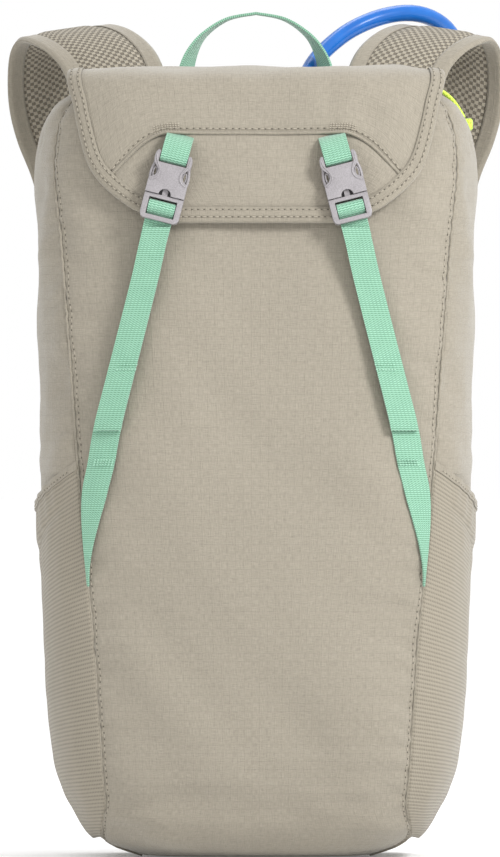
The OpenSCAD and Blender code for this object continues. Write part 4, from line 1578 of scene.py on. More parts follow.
def cad_copy(node: str, name: str) -> bpy.types.Object:
    """Copy of a frame node with merged faces.

    Args:
        node: The node.
        name: The new piece's name.

    Returns:
        The copy.
    """
    source = next(o for o in bpy.context.scene.objects if o.get("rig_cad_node") == node)
    bm = bmesh.new()
    bm.from_mesh(source.data)
    bmesh.ops.remove_doubles(bm, verts=bm.verts, dist=0.002 * MM)
    bmesh.ops.dissolve_limit(bm, angle_limit=math.radians(1), verts=bm.verts, edges=bm.edges)
    return make_object(name, bm)


@dataclass
class HardPart:
    """A moulded part: the node it comes from, its body, finish and record slot."""

    node: str
    body: str
    finish: bpy.types.Material
    slot: str
    edge: float = 0.35

    def build(self) -> bpy.types.Object:
        """The part with rounded edges."""
        piece = soften(cad_copy(self.node, f"{self.node}_moulding"), self.edge, 3)
        return dress(piece, self.finish, self.body, self.slot, [self.node])


@dataclass
class BuckleFrame:
    """Where a lid buckle lies: its mouth, its lean and its pitch."""

    side: Side
    mouth: tuple[float, float, float] = (50.3, -80.5, 364.4)
    lean: float = 14.3
    pitch: float = 6.8

    def at(self, x: float, y: float, z: float) -> Vector:
        """Point given in the buckle's own frame."""
        turn = Matrix.Rotation(math.radians(-self.pitch), 3, "X") @ Matrix.Rotation(
            math.radians(-self.lean), 3, "Y"
        )
        return self.side.put(Vector(self.mouth) + turn @ Vector((x, y, z)))


@dataclass
class SocketTrim:
    """Raised edges on a buckle's socket: side rails, window rims and the ridges along its waist."""

    finishes: Finishes
    side: Side
    # Points of the right half in the buckle's frame
    rail: Route = Route((
        (9.6, -3.9, 5.4), (10.2, -3.9, 8.2), (10.4, -3.9, 11.4), (10, -3.9, 14.6), (9.4, -3.9, 17),
    ))
    ridge: Route = Route((
        (9.5, -6.6, 22.8), (9, -6.9, 19), (7.2, -7, 15.8), (6, -7, 13.2), (5.9, -7, 10.8),
        (7.2, -7, 8.4), (10, -6.9, 6.8),
    ))
    window: tuple[float, float, float] = (8.3, -5.2, 11.6)

    def build(self) -> None:
        """The trim of both halves."""
        at = BuckleFrame(self.side).at
        across, up, high = self.window
        for half, word in ((-1, "left"), (1, "right")):
            name = f"Socket_{self.side.word}_{word}"
            rim = [
                at(half * (across + 1.0 * math.cos(TURN * k / 24)), up, high + 2.7 * math.sin(TURN * k / 24))
                for k in range(25)
            ]
            rail = [at(half * p.x, p.y, p.z) for p in self.rail.line(4)]
            ridge = [at(half * p.x, p.y, p.z) for p in self.ridge.line(4)]
            for part, line, radius in (("rail", rail, 0.95), ("ridge", ridge, 0.5), ("rim", rim, 0.4)):
                made = tube(f"{name}_{part}", line, radius, 8)
                dress(made, self.finishes.grey, "lid", "grey_buckle")


@dataclass
class LidStrap:
    """Short webbing from the lid's seam round the socket's bar."""

    finishes: Finishes
    side: Side
    width: float = 15.0
    thickness: float = 1.4
    # Distance back and height in the buckle's frame
    loop: Route = Route((
        (4.6, 36), (1.4, 33), (0.2, 30.4), (-0.6, 27), (-1.1, 23), (-1.2, 20.8), (-2.1, 19.2), (-3.6, 18.8),
        (-5.2, 19.4), (-6.1, 21), (-6.1, 23.4), (-5, 28), (-2.8, 31.6), (-0.4, 33.6), (4, 35.4),
    ))

    def build(self) -> None:
        """The webbing loop."""
        at = BuckleFrame(self.side).at
        line = [at(0, *point) for point in self.loop.line(5)]
        across = [at(1, 0, 0) - at(0, 0, 0)] * len(line)
        made = ribbon(f"Lid_strap_{self.side.word}", line, across, self.width, self.thickness)
        dress(made, self.finishes.mint, "lid", "mint_webbing", [f"lid_strap_{self.side.word}"])


@dataclass
class FrontStrap:
    """Webbing sewn into the side seam that climbs to the buckle and hangs back down as a tail."""

    finishes: Finishes
    side: Side
    thickness: float = 1.4
    # Rows: height, inner edge, outer edge, distance off the panel
    standing: Route = Route((
        (150, 91.9, 92.8, 1.6), (160, 91.7, 93.7, 1.8), (172, 89.8, 94.9, 1.9), (186, 86.2, 95.8, 2),
        (197, 83, 95.8, 2.1), (206, 80.7, 94.9, 2.1), (218, 77.7, 92.4, 2.1), (236, 74.4, 89.4, 2),
        (260, 68.5, 83.5, 2), (290, 60.9, 75.9, 2.4), (320, 53.4, 68.4, 4.8), (337, 49.6, 64.6, 7.9),
        (342, 48.4, 63.4, 8.6),
    ))
    tail: Route = Route((
        (271, 65.8, 80.8, 4), (262, 68, 83, 3.9), (244, 72.6, 87.6, 3.7), (238.4, 73.8, 88.8, 3.9),
        (236.4, 74.3, 89.3, 4.8), (238.4, 73.8, 88.8, 5.7), (244, 72.6, 87.6, 6), (262, 68, 83, 6),
        (290, 60.9, 75.9, 5.4), (320, 53.4, 68.4, 7.2), (337, 49.6, 64.6, 10.4), (342, 48.4, 63.4, 11.2),
        (347.5, 47, 62, 12),
    ))
    # Loop over the plug's bar: distance back and height in the buckle's frame
    loop: Route = Route((
        (0.3, -24), (0.1, -18), (-0.1, -12), (-0.4, -8.6), (-1.1, -5.4), (-2.6, -4.1), (-4.2, -4.1),
        (-5.4, -5.3), (-5.5, -7.4), (-4.2, -9.6), (-2.6, -11.2), (-1.8, -13), (-1.5, -16), (-1.2, -20),
    ))

    def layer(self, name: str, rows: Route) -> bpy.types.Object:
        """One layer of webbing over the panel."""
        count = len(rows.points) - 1

        def right(across: float, up: float) -> Vector:
            """Middle of the layer on the right."""
            z, inner, outer, off = rows.on_step(up * count)
            x = inner + (outer - inner) * across
            return Vector((x, BAG.front_y(x, z, off + self.thickness / 2), z))

        made = sewn(name, mirrored(right, self.side), 6, count * 6)
        soften(thicken(made, self.thickness, 0.0), 0.3)
        return self.follow_plug(made)

    def follow_plug(self, piece: bpy.types.Object) -> bpy.types.Object:
        """Let the upper end go with the plug."""
        word = self.side.word
        piece.data.materials.append(self.finishes.mint)
        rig.blend(
            piece, "bag", f"plug_{word}",
            self.side.put(Vector((70, -85, 262))) * MM, self.side.put(Vector((56, -83, 336))) * MM,
        )
        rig.slot(piece, "mint_webbing")
        log.info("%s bends between the bag and the plug", piece.name)
        return piece

    def build(self) -> None:
        """Both layers, the loop and the cross stitches."""
        word = self.side.word
        under = self.layer(f"Front_strap_{word}", self.standing)
        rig.replaces(under, f"front_strap_{word}")
        self.layer(f"Front_strap_tail_{word}", self.tail)
        at = BuckleFrame(self.side).at
        line = [at(0, *point) for point in self.loop.line(5)]
        across = [at(1, 0, 0) - at(0, 0, 0)] * len(line)
        self.follow_plug(ribbon(f"Plug_webbing_{word}", line, across, 15, self.thickness))
        tack_rows = []
        for z in (217.0, 218.3, 219.6, 269.4, 272.0):
            inner, outer = 77.6 + (218 - z) * 0.25, 92.6 + (218 - z) * 0.25
            off = 4.2 if z < 240 else 7.6
            spots = [inner + 0.8 + (outer - inner - 1.6) * k / 12 for k in range(13)]
            line = mirrored_line([Vector((x, BAG.front_y(x, z, off), z)) for x in spots], self.side)
            tack_rows.append((line, [Vector((0, -1, 0))] * 13))
        tack = Stitch(1.7, 1.5, 0.8, 0.5).row(f"Front_strap_bartack_{word}", tack_rows)
        dress(tack, self.finishes.mint_thread, "bag", "mint_webbing")


@dataclass
class HaulLoop:
    """Webbing loop to lift the bag by."""

    finishes: Finishes
    right: Route = Route((
        (41, 80.6, 408), (41, 82.6, 418), (40, 87, 432), (36.5, 91.4, 446), (29, 95, 458),
        (16, 97.8, 467), (0, 98.8, 470.3),
    ))
    across: Route = Route((
        (1, 0, 0), (0.95, 0.3, 0), (0.6, 0.8, 0), (0.4, 0.9, 0), (0.2, 0.98, 0), (0.1, 1, 0), (0, 1, 0),
    ))

    def build(self) -> None:
        """The loop, from foot to foot."""
        rights, across = self.right.line(8), self.across.line(8)
        line = mirrored_line(rights, Side.LEFT) + rights[-2::-1]
        ways = across + [Vector((-w.x, w.y, w.z)) for w in across[-2::-1]]
        made = ribbon("Haul_loop", line, ways, 15, 1.4, 8)
        dress(made, self.finishes.mint, "carry_loop", "mint_webbing", ["haul_loop"])


# ---------------------------------------------------------------- drawcord


@dataclass
class Drawcord:
    """Braided cord that runs through the collar and leaves by the lock to its knot."""

    finishes: Finishes
    diameter: float = 2.2
    knot: tuple[float, float, float] = (117.5, 49.4, 406.8)
    tails: Route = Route((
        (57, 32.5, 415.5), (59, 33, 420), (64, 33.8, 424.2), (70, 34, 425), (78, 34.8, 425.4),
        (89, 37, 426.4), (98, 39.5, 427), (104, 42.5, 425), (109.5, 45.5, 420.5),
        (113.5, 47.5, 415), (116, 48.8, 410.5),
    ))

    def strands(self) -> list[tuple[bpy.types.Object, list[Vector]]]:
        """The two tails, side by side."""
        made = []
        for word, share in (("front", -1), ("back", 1)):
            beside = share * (self.diameter / 2 + 0.1) * Vector((-0.2, 0.98, 0))
            line = [point + beside for point in self.tails.line(4)]
            made.append((tube(f"Drawcord_tail_{word}", line, self.diameter / 2, 12), line))
        return made

    def tied_knot(self) -> bpy.types.Object:
        """Overhand knot: one thick turn over a round heart."""
        middle = Vector(self.knot)
        turns = 26
        line = []
        for k in range(3 * turns + 1):
            angle = TURN * k / turns
            lean = 0.55 * math.sin(angle / 1.5)
            line.append(middle + Vector((
                2.3 * math.cos(angle), 2.3 * math.sin(angle) * math.cos(lean), 2.0 * math.sin(1.34 * angle),
            )))
        return tube("Drawcord_knot", line, 1.45, 10)

    def build(self) -> None:
        """Loop in the collar, tails and knot."""
        loop = []
        for k in range(97):
            at = BAG.on_section(math.radians(35 + 345 * k / 96), BAG.height)
            loop.append(Vector((at.x * 0.655, at.y * 0.655, BAG.height - 9.6)))
        inner = tube("Drawcord_loop", loop, self.diameter / 2, 10)
        dress(inner, self.finishes.lime, "bag", "lime_cord", ["drawcord"])
        knot = dress(self.tied_knot(), self.finishes.lime, "bag", "lime_cord")
        for piece, line in self.strands():
            dress(piece, self.finishes.lime, "bag", "lime_cord")
            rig.cord(
                piece, line[0] * MM, lengths(line)[-1] * MM, self.diameter * MM, "knot",
                stiffness="limp", lay="loose", path=[point * MM for point in line], with_pieces=[knot],
            )


# ---------------------------------------------------------------- drinking tube


@dataclass
class DrinkTube:
    """Tube from the quick link inside the bag, over the shoulder and down the right strap."""

    finishes: Finishes
    diameter: float = 9.5
    route: Route = Route((
        (0, 15.2, 103), (1, 15, 116), (8, 15, 134), (22, 15, 155), (38, 15, 178), (50, 15, 206),
        (56, 16, 238), (57, 18, 270), (55, 22, 302), (50, 30, 334), (41, 43, 366), (32, 58, 392),
        (28, 70, 408), (28, 80, 421), (28.2, 92.4, 432), (32.2, 104.4, 442), (41, 115, 452), (54, 125, 462),
        (71, 134, 469.4), (88, 144, 471.8), (102, 156, 468), (112, 168, 458), (116, 176, 441),
        (114, 179.5, 420), (108, 181, 398), (101, 181.2, 376), (96, 181.2, 352), (96, 181.2, 326),
        (96, 181.4, 300), (97, 182.4, 274), (99, 184, 248), (101, 185, 226),
    ))

    def build(self, valve: Sequence[bpy.types.Object]) -> None:
        """The tube, declared with the valve at its end.

        Args:
            valve: The pieces of the bite valve.
        """
        line = [point * MM for point in self.route.line(4)]
        curve = bpy.data.curves.new("Drink_tube", "CURVE")
        curve.dimensions = "3D"
        curve.bevel_depth = self.diameter / 2 * MM
        curve.bevel_resolution = 6
        curve.use_fill_caps = True
        spline = curve.splines.new("POLY")
        spline.points.add(len(line) - 1)
        for knot, point in zip(spline.points, line):
            knot.co = (*point, 1.0)
        spline.use_smooth = True
        piece = bpy.data.objects.new("Drink_tube", curve)
        bpy.context.scene.collection.objects.link(piece)
        dress(piece, self.finishes.hose, "bag", "blue_tube", ["drink_tube"])
        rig.cord(
            piece, line[0], lengths(line)[-1], self.diameter * MM, "fitting",
            stiffness="stiff", lay="loose", with_pieces=list(valve),
        )
        log.info("the drinking tube is %.3f m long", lengths(line)[-1])


# ---------------------------------------------------------------- harness


@dataclass
class ShoulderStrap:
    """Curved padded strap: open mesh with a flat bound border."""

    finishes: Finishes
    side: Side
    border: float = 8.5
    inner: Route = Route((
        (48, 74.4, 400), (49, 74.8, 416), (51, 83, 433), (57, 97, 448), (67, 114, 458.5),
        (77, 129, 463), (85, 143, 463.4), (90, 155, 459), (91, 163.5, 450), (89, 169, 434),
        (83, 172.5, 410), (73, 173.5, 382), (64, 172.4, 352), (62, 172, 330), (62, 172, 296),
        (63, 171.6, 262), (68, 164, 226), (75, 149, 192),
    ))
    outer: Route = Route((
        (103, 74.4, 399), (103, 74.8, 414), (104.5, 80.5, 429), (109, 88.5, 440),
        (117, 97.5, 448.5), (126, 108, 454), (133.5, 120, 455.5), (138, 132, 448.5),
        (139.5, 142.5, 434), (138.5, 150.5, 417), (134, 157.5, 399), (125.5, 164.5, 377),
        (119.5, 170.8, 350), (118, 172, 330), (118, 172, 296), (117, 171.6, 262), (112, 164, 226),
        (105, 149, 192),
    ))
    steps: int = 7
    # Filled by build() from frames()
    frames_kept: list[tuple[Vector, Vector, Vector]] = field(default_factory=list)

    def frames(self) -> list[tuple[Vector, Vector, Vector]]:
        """Middle, half width across and outward direction at each step, on the right."""
        inner, outer = self.inner.line(self.steps), self.outer.line(self.steps)
        middle = [(a + b) / 2 for a, b in zip(inner, outer)]
        made = []
        for index, (start, end) in enumerate(zip(inner, outer)):
            across = (end - start) / 2
            made.append((middle[index], across, heading(middle, index).cross(across).normalized()))
        return made

    def half_thickness(self, from_edge: float) -> float:
        """Half of the strap's thickness at a distance from its edge."""
        return 1.15 * min(1.0, max(0.0, from_edge) / 1.2) ** 0.5 + 1.75 * step(from_edge, 6.5, 16)

    def core(self, around: float, along: float) -> Vector:
        """Surface of the padded core on the right."""
        rings = self.frames_kept
        middle, across, up = rings[round(along * (len(rings) - 1))]
        half = across.length
        top = around < 0.5
        share = 4 * around - 1 if top else 3 - 4 * around
        height = self.half_thickness(half * (1 - abs(share)))
        return middle + share * across + (height if top else -height) * up

    def border_place(self, edge: int) -> Place:
        """Tape round the inner (-1) or outer (1) edge on the right."""

        def place(across: float, along: float) -> Vector:
            """Point of the tape that wraps the edge."""
            rings = self.frames_kept
            middle, half, up = rings[round(along * (len(rings) - 1))]
            share = 2 * across - 1
            way_in = -0.7 + (self.border + 0.7) * abs(share) ** 1.4
            height = min(1.0, abs(share) * 3.2) ** 0.6 * (self.half_thickness(way_in) + 0.45)
            reach = half.length - way_in
            return middle + edge * reach * half.normalized() - math.copysign(height, share) * up * edge

        return place

    def build(self) -> None:
        """Core, two border tapes and their stitches."""
        self.frames_kept = self.frames()
        word = self.side.word
        steps = len(self.frames_kept) - 1
        core = sewn(
            f"Shoulder_strap_{word}", mirrored(self.core, self.side), 56, steps, closed=True
        )
        close_ends(core)
        dress(core, self.finishes.mesh, "bag", "air_mesh", [f"shoulder_strap_{word}"])
        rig.padded(core, 0.6)
        rows = []
        for edge, name in ((-1, "inner"), (1, "outer")):
            tape_place = mirrored(self.border_place(edge), self.side)
            tape = sewn(f"Strap_border_{name}_{word}", tape_place, 18, steps)
            dress(thicken(tape, 0.5, 0.0), self.finishes.binding, "bag", "ripstop_fabric")
            for across in (0.06, 0.2, 0.8, 0.94):
                spots = [(across, 0.004 + 0.992 * k / steps) for k in range(steps + 1)]
                rows.append(on_cloth(tape_place, spots, 0.35))
        sew(Stitch(3.6, 2.6, 0.7, 0.45), f"Strap_stitches_{word}", rows, self.finishes)


@dataclass
class BackPad:
    """Mesh pad against the wearer's back: blown up a little by a cloth simulation, then channelled."""

    finishes: Finishes
    width: float = 148.0
    low: float = 36.0
    high: float = 394.0
    near: float = 70.6
    far: float = 76.2
    corner: float = 24.0
    most: float = 2.2

    def blank(self) -> bpy.types.Object:
        """Flat slab with round corners, closed all round."""
        height = self.high - self.low
        bm = bmesh.new()
        bmesh.ops.create_grid(bm, x_segments=30, y_segments=70, size=1.0)
        for vert in bm.verts:
            x, z = vert.co.x * self.width / 2, vert.co.y * height / 2
            over_x = max(0.0, abs(x) - (self.width / 2 - self.corner))
            over_z = max(0.0, abs(z) - (height / 2 - self.corner))
            far_out = math.hypot(over_x, over_z)
            reach = max(over_x, over_z)
            pull = reach / far_out if far_out > reach else 1.0
            x = math.copysign(abs(x) - over_x * (1 - pull), x)
            z = math.copysign(abs(z) - over_z * (1 - pull), z)
            vert.co = Vector((x, self.near, z + (self.low + self.high) / 2)) * MM
        grown = bmesh.ops.extrude_face_region(bm, geom=list(bm.faces))
        moved = [item for item in grown["geom"] if isinstance(item, bmesh.types.BMVert)]
        bmesh.ops.translate(bm, verts=moved, vec=(0, (self.far - self.near) * MM, 0))
        bmesh.ops.recalc_face_normals(bm, faces=bm.faces)
        return make_object("Back_pad", bm)

    def inflate(self, piece: bpy.types.Object) -> None:
        """Swell the pad with a short cloth simulation, and cap how far each point moves."""
        scene = bpy.context.scene
        bpy.context.view_layer.objects.active = piece
        remesh = piece.modifiers.new("Even", "REMESH")
        remesh.mode, remesh.voxel_size = "VOXEL", 0.0045
        bpy.ops.object.modifier_apply(modifier=remesh.name)
        rest = [vert.co.copy() for vert in piece.data.vertices]
        cloth = piece.modifiers.new("Cloth", "CLOTH")
        cloth.settings.use_pressure = True
        cloth.settings.uniform_pressure_force = 4.0
        cloth.settings.effector_weights.gravity = 0.0
        cloth.point_cache.frame_start, cloth.point_cache.frame_end = 1, 20
        for number in range(1, 21):
            scene.frame_set(number)
        bpy.ops.object.modifier_apply(modifier=cloth.name)
        scene.frame_set(1)
        for vert, start in zip(piece.data.vertices, rest):
            shift = vert.co - start
            if shift.length > self.most * MM:
                vert.co = start + shift.normalized() * self.most * MM

    def channel(self, piece: bpy.types.Object) -> None:
        """Press the sewn channels into the side that faces the wearer, and keep the other one flat."""
        for vert in piece.data.vertices:
            x, y, z = vert.co / MM
            groove = max(hump(abs(x), 27, 3.2), *(hump(z, level, 3.2) for level in (110, 182, 254, 326)))
            middle = hump(abs(x), 0, 24) * 0.6
            if y > (self.near + self.far) / 2:
                y -= 2.6 * max(groove, 0.55 * middle) * step(y, 72, 76)
            vert.co = Vector((x, min(max(y, 70.3), 78.6), z)) * MM

    def build(self) -> None:
        """The pad, its weave and its bound edge."""
        piece = self.blank()
        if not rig.quick():
            self.inflate(piece)
        bm = bmesh.new()
        bm.from_mesh(piece.data)
        bmesh.ops.subdivide_edges(bm, edges=bm.edges, cuts=1, use_grid_fill=True, smooth=0.3)
        weave = bm.loops.layers.uv.get("Weave") or bm.loops.layers.uv.new("Weave")
        for face in bm.faces:
            face.smooth = True
            for loop in face.loops:
                loop[weave].uv = (loop.vert.co.x + 0.5, loop.vert.co.z)
        bm.to_mesh(piece.data)
        bm.free()
        self.channel(piece)
        dress(piece, self.finishes.mesh, "bag", "air_mesh", ["back_pad"])
        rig.padded(piece, 0.5)
        half, middle = self.width / 2 + 0.4, (self.low + self.high) / 2
        tall = (self.high - self.low) / 2 + 0.4
        line = []
        for k in range(161):
            angle = TURN * k / 160
            x = math.copysign(abs(math.cos(angle)) ** 0.34, math.cos(angle)) * half
            z = math.copysign(abs(math.sin(angle)) ** 0.17, math.sin(angle)) * tall
            line.append(Vector((x, 72.6, middle + z)))
        edge = tube("Back_pad_binding", evenly(line, 240), 1.9, 8)
        dress(edge, self.finishes.binding, "bag", "ripstop_fabric")


@dataclass
class Harness:
    """Straps, yoke, lower webbing, anchor tabs and the sternum strap."""

    finishes: Finishes
    lower: Route = Route((
        (87.5, 71.4, 28), (87.5, 72, 44), (88, 84, 80),
        (88.8, 105, 122), (89.5, 125.4, 158), (90, 137.6, 178),
    ))
    tail: Route = Route((
        (90, 145, 174.4), (90, 142.4, 162), (89.5, 140.6, 140), (88.5, 140, 116), (88, 140, 94),
    ))
    # Loop from the strap's lower end round the ladder lock's upper bar
    lock_loop: Route = Route((
        (90, 149.2, 203), (90, 149.6, 192), (90, 149.3, 186), (90, 148.8, 181.4), (90, 147.4, 179.4),
        (90, 145.4, 179.1), (90, 143.2, 179.6), (90, 142.1, 181.8), (90, 142.9, 187), (90, 146.2, 193.5),
        (90, 148.2, 203),
    ))
    rail_y: float = 177.8
    sternum_z: float = 305.0

    def lower_webbing(self, side: Side) -> None:
        """Webbing from the anchor tab to the ladder lock, and its free tail."""
        for name, route in (("Lower_webbing", self.lower), ("Lower_webbing_tail", self.tail)):
            line = mirrored_line(route.line(8), side)
            made = ribbon(f"{name}_{side.word}", line, [Vector((1, 0, 0))] * len(line), 20, 1.4)
            made.data.materials.append(self.finishes.dark_web)
            start, end = side.put(Vector((89, 105, 122))), side.put(Vector((90, 140, 180)))
            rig.blend(made, "bag", f"ladder_{side.word}", start * MM, end * MM)
            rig.slot(made, "dark_webbing")
            if route is self.lower:
                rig.replaces(made, f"lower_webbing_{side.word}")

    def ladder_loop(self, side: Side) -> None:
        """Webbing that ties the shoulder strap's end to the ladder lock."""
        line = mirrored_line(self.lock_loop.line(5), side)
        made = ribbon(f"Ladder_loop_{side.word}", line, [Vector((1, 0, 0))] * len(line), 20, 1.3)
        made.data.materials.append(self.finishes.dark_web)
        start, end = side.put(Vector((90, 149, 195))), side.put(Vector((90, 146, 184)))
        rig.blend(made, "bag", f"ladder_{side.word}", start * MM, end * MM)
        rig.slot(made, "dark_webbing")

    def anchor_tab(self, side: Side) -> None:
        """Tab sewn on the lower corner, wide at its foot."""

        def right(across: float, up: float) -> Vector:
            """Point of the tab on the right."""
            z = 22 + 38 * up
            start, end = 47 + up, 64 - 7 * up
            turn = math.radians(start + (end - start) * across)
            wide = BAG.half_width(z) * math.cos(turn) ** 0.4
            deep = BAG.reach(z, True) * math.sin(turn) ** 0.4
            at = Vector((wide, deep, z))
            return at + 1.6 * BAG.out(at)

        made = sewn(f"Anchor_tab_{side.word}", mirrored(right, side), 12, 16)
        soften(thicken(made, 1.4, 0.0), 0.3)
        dress(made, self.finishes.binding, "bag", "ripstop_fabric", [f"anchor_tab_{side.word}"])

    def yoke(self) -> None:
        """Binding over the straps' upper ends."""

        def place(side: Side) -> Place:
            """Surface of the binding on one side."""
            return lambda across, up: Vector((
                side.value * 69.5 + 35 * (1 - 2 * across),
                79.1 + 0.2 * math.sin(40 * across),
                397 + 10.5 * up,
            ))

        pieces = []
        for side in Side:
            made = sewn(f"Harness_yoke_{side.word}", place(side), 40, 6)
            soften(thicken(made, 1.0, 0.0), 0.3)
            pieces.append(dress(made, self.finishes.binding, "bag", "ripstop_fabric"))
            lines = [[(0.02 + 0.96 * k / 30, up) for k in range(31)] for up in (0.2, 0.8)]
            rows = [on_cloth(place(side), spots, 0.6) for spots in lines]
            sew(Stitch(3.2, 2.4, 0.7, 0.45), f"Yoke_stitches_{side.word}", rows, self.finishes)
        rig.replaces(pieces[0], "harness_yoke")

    def sternum(self) -> None:
        """The two webbings that cross the chest."""
        y, z = self.rail_y, self.sternum_z
        ends = {Side.LEFT: (20.5, y + 6.45, z), Side.RIGHT: (8.5, y + 6.85, z)}
        for side, end in ends.items():
            route = Route((
                (60.4, y + 2.4, z), (52, y + 4, z), (38, y + 5.7, z), (end[0] + 9, end[1], z), end,
            ))
            line = mirrored_line(route.line(6), side)
            made = ribbon(f"Sternum_webbing_{side.word}", line, [Vector((0, 0, 1))] * len(line), 15, 1.4)
            if side is Side.LEFT:
                dress(made, self.finishes.dark_web, "chest_strap", "dark_webbing", ["sternum_webbing_left"])
                continue
            made.data.materials.append(self.finishes.dark_web)
            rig.blend(made, "chest_strap", "chest_plug", Vector((58, y, z)) * MM, Vector((14, y, z)) * MM)
            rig.slot(made, "dark_webbing")
            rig.replaces(made, "sternum_webbing_right")

    def build(self) -> None:
        """Every soft piece of the harness."""
        for side in Side:
            ShoulderStrap(self.finishes, side).build()
            self.lower_webbing(side)
            self.ladder_loop(side)
            self.anchor_tab(side)
        self.yoke()
        self.sternum()
        BackPad(self.finishes).build()


# ---------------------------------------------------------------- reservoir


@dataclass
class Reservoir:
    """Soft parts inside the bag: the sleeve, the water film and the hanger."""

    finishes: Finishes
    width: float = 164.0
    height: float = 290.0
    depth: float = 32.0
    middle_y: float = 46.0
    foot_z: float = 44.0
    sleeve_share: float = 0.84

    def sleeve(self) -> None:
        """Cloth pocket that holds the film against the back panel."""

        def place(across: float, up: float) -> Vector:
            """Point of the cloth, which bends back to the panel at its sides."""
            z = 40 + 192 * up
            share = 2 * across - 1
            reach = self.sleeve_share * BAG.half_width(z)
            edge = (BAG.reach(z, True) - 1.2) * (1 - self.sleeve_share**5) ** 0.2 - 2
            bend = abs(share) ** 14
            sag = 0.8 * ripple(Vector((share * reach, 0, z)), 40, 2) * (1 - bend)
            return Vector((share * reach, 8.5 + sag + (edge - 8.5) * bend, z))

        made = thicken(sewn("Hydration_sleeve", place, 90, 60), 0.7, 0.0)
        dress(made, self.finishes.lining, "bag", "ripstop_fabric", ["hydration_sleeve"])
        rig.sheet(made, (0.27, 0.192), "hung", rests_on=["Back_panel"])
        line = [place(k / 120, 1.0) for k in range(121)]
        dress(tube("Sleeve_hem", line, 1.1, 8), self.finishes.binding, "bag", "ripstop_fabric")

    def film(self) -> None:
        """Film bag with a flat welded rim and soft creases."""

        def place(around: float, up: float) -> Vector:
            """Point of the film, front half first."""
            ahead = around < 0.5
            share = 4 * around - 1 if ahead else 3 - 4 * around
            level = 2 * up - 1
            swell = math.sqrt(max(0.0, 1 - share**4) * max(0.0, 1 - level**6))
            z = self.foot_z + self.height * up
            at = Vector((share * self.width / 2, 0, z))
            crease = 0.5 * swell * ripple(at, 24, 5 if ahead else 8)
            off = 1.2 + (self.depth / 2 - 1.6) * swell + crease
            return at + Vector((0, self.middle_y + (-off if ahead else off), 0))

        made = close_ends(sewn("Reservoir_film", place, 96, 110, closed=True))
        dress(made, self.finishes.film, "bag", "clear_film", ["reservoir_bladder"])

    def hanger(self) -> None:
        """Webbing that hangs the reservoir from the back panel."""
        route = Route((
            (0, 67.3, 396), (0, 64, 384), (0, 50, 368), (0, 40, 353.8), (0, 32.4, 351),
            (0, 25.4, 354), (0, 24.4, 361), (0, 25.4, 368), (0, 40, 376), (0, 56, 388),
            (0, 64.6, 400), (0, 67.3, 408),
        ))
        line = route.line(6)
        made = ribbon("Reservoir_hanger", line, [Vector((1, 0, 0))] * len(line), 16, 1.4)
        dress(made, self.finishes.dark_web, "bag", "dark_webbing", ["reservoir_hanger"])

    def build(self) -> None:
        """Every soft piece inside."""
        self.sleeve()
        self.film()
        self.hanger()


# ---------------------------------------------------------------- assembly


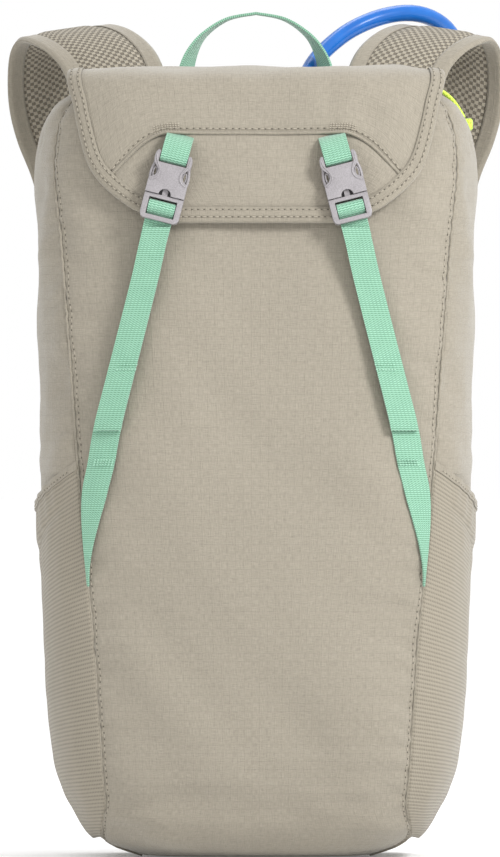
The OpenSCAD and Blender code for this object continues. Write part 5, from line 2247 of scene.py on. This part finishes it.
def hard_parts(finishes: Finishes) -> list[HardPart]:
    """Every moulded part of the pack but the bite valve's."""
    grey, dark, blue = finishes.grey, finishes.charcoal, finishes.blue
    parts = [
        HardPart("cord_lock_body", "bag", dark, "dark_plastic", 0.5),
        HardPart("cord_lock_plunger", "lock_button", dark, "dark_plastic", 0.4),
        HardPart("reservoir_collar", "bag", blue, "blue_plastic", 0.5),
        HardPart("reservoir_seal", "bag", finishes.rubber, "seal_rubber", 0.3),
        HardPart("reservoir_cap", "filler_cap", blue, "blue_plastic", 0.6),
        HardPart("reservoir_handle", "bag", blue, "blue_plastic", 0.9),
        HardPart("outlet_fitting", "bag", blue, "blue_plastic", 0.3),
        HardPart("quick_link", "bag", grey, "grey_buckle", 0.4),
        HardPart("quick_link_button", "link_button", blue, "blue_plastic", 0.4),
        HardPart("tube_clip", "bag", dark, "dark_webbing", 0.3),
        HardPart("sternum_socket", "chest_strap", grey, "grey_buckle", 0.4),
        HardPart("sternum_plug", "chest_plug", grey, "grey_buckle", 0.4),
    ]
    for side in Side:
        word = side.word
        parts += [
            HardPart(f"buckle_socket_{word}", "lid", grey, "grey_buckle", 0.45),
            HardPart(f"buckle_plug_{word}", f"plug_{word}", grey, "grey_buckle", 0.4),
            HardPart(f"ladder_lock_{word}", f"ladder_{word}", dark, "dark_plastic", 0.45),
            HardPart(f"sternum_rail_{word}", "bag", dark, "dark_plastic", 0.3),
            HardPart(f"sternum_slider_{word}", "chest_strap", grey, "grey_buckle", 0.4),
        ]
    return parts


def bite_valve(finishes: Finishes) -> list[bpy.types.Object]:
    """The three parts at the end of the drinking tube."""
    return [
        HardPart("bite_valve_body", "bag", finishes.charcoal, "dark_plastic", 0.4).build(),
        HardPart("bite_piece", "bag", finishes.silicone, "bite_silicone", 0.9).build(),
        HardPart("valve_lever", "drink_lever", finishes.blue, "blue_plastic", 0.4).build(),
    ]


def lock_spring(finishes: Finishes, travel: float = 3.0) -> None:
    """Spring of the cord lock, which shortens as the button is pressed."""
    wire = cad_copy("cord_lock_spring", "Cord_lock_spring_wire")
    dress(wire, finishes.steel, "bag", "spring_steel", ["cord_lock_spring"])
    ends = [vert.co.y for vert in wire.data.vertices]
    length = max(ends) - min(ends)
    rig.squash(wire, "cord_lock_press", (0, 1, 0), (0, min(ends), 0), keep=1 - travel * MM / length)


def main() -> None:
    """Build the pack piece by piece."""
    logging.basicConfig(level=logging.INFO, format="%(message)s")
    Studio().build()
    finishes = Finishes()
    DrinkTube(finishes).build(bite_valve(finishes))
    Drawcord(finishes).build()
    Shell(finishes).build()
    for side in Side:
        SidePocket(finishes, side).build()
    Lid(finishes).build()
    for side in Side:
        LidStrap(finishes, side).build()
        SocketTrim(finishes, side).build()
        FrontStrap(finishes, side).build()
    HaulLoop(finishes).build()
    Harness(finishes).build()
    Reservoir(finishes).build()
    for part in hard_parts(finishes):
        part.build()
    lock_spring(finishes)
    sizes = {
        "cad": [list(corner) for corner in CAD_BOX],
        "visual": [list(corner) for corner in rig.bounds()],
    }
    with open("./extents.json", "w", encoding="utf-8") as out:
        json.dump(sizes, out)
    log.info("sizes %s", sizes)


if __name__ == "__main__":
    main()
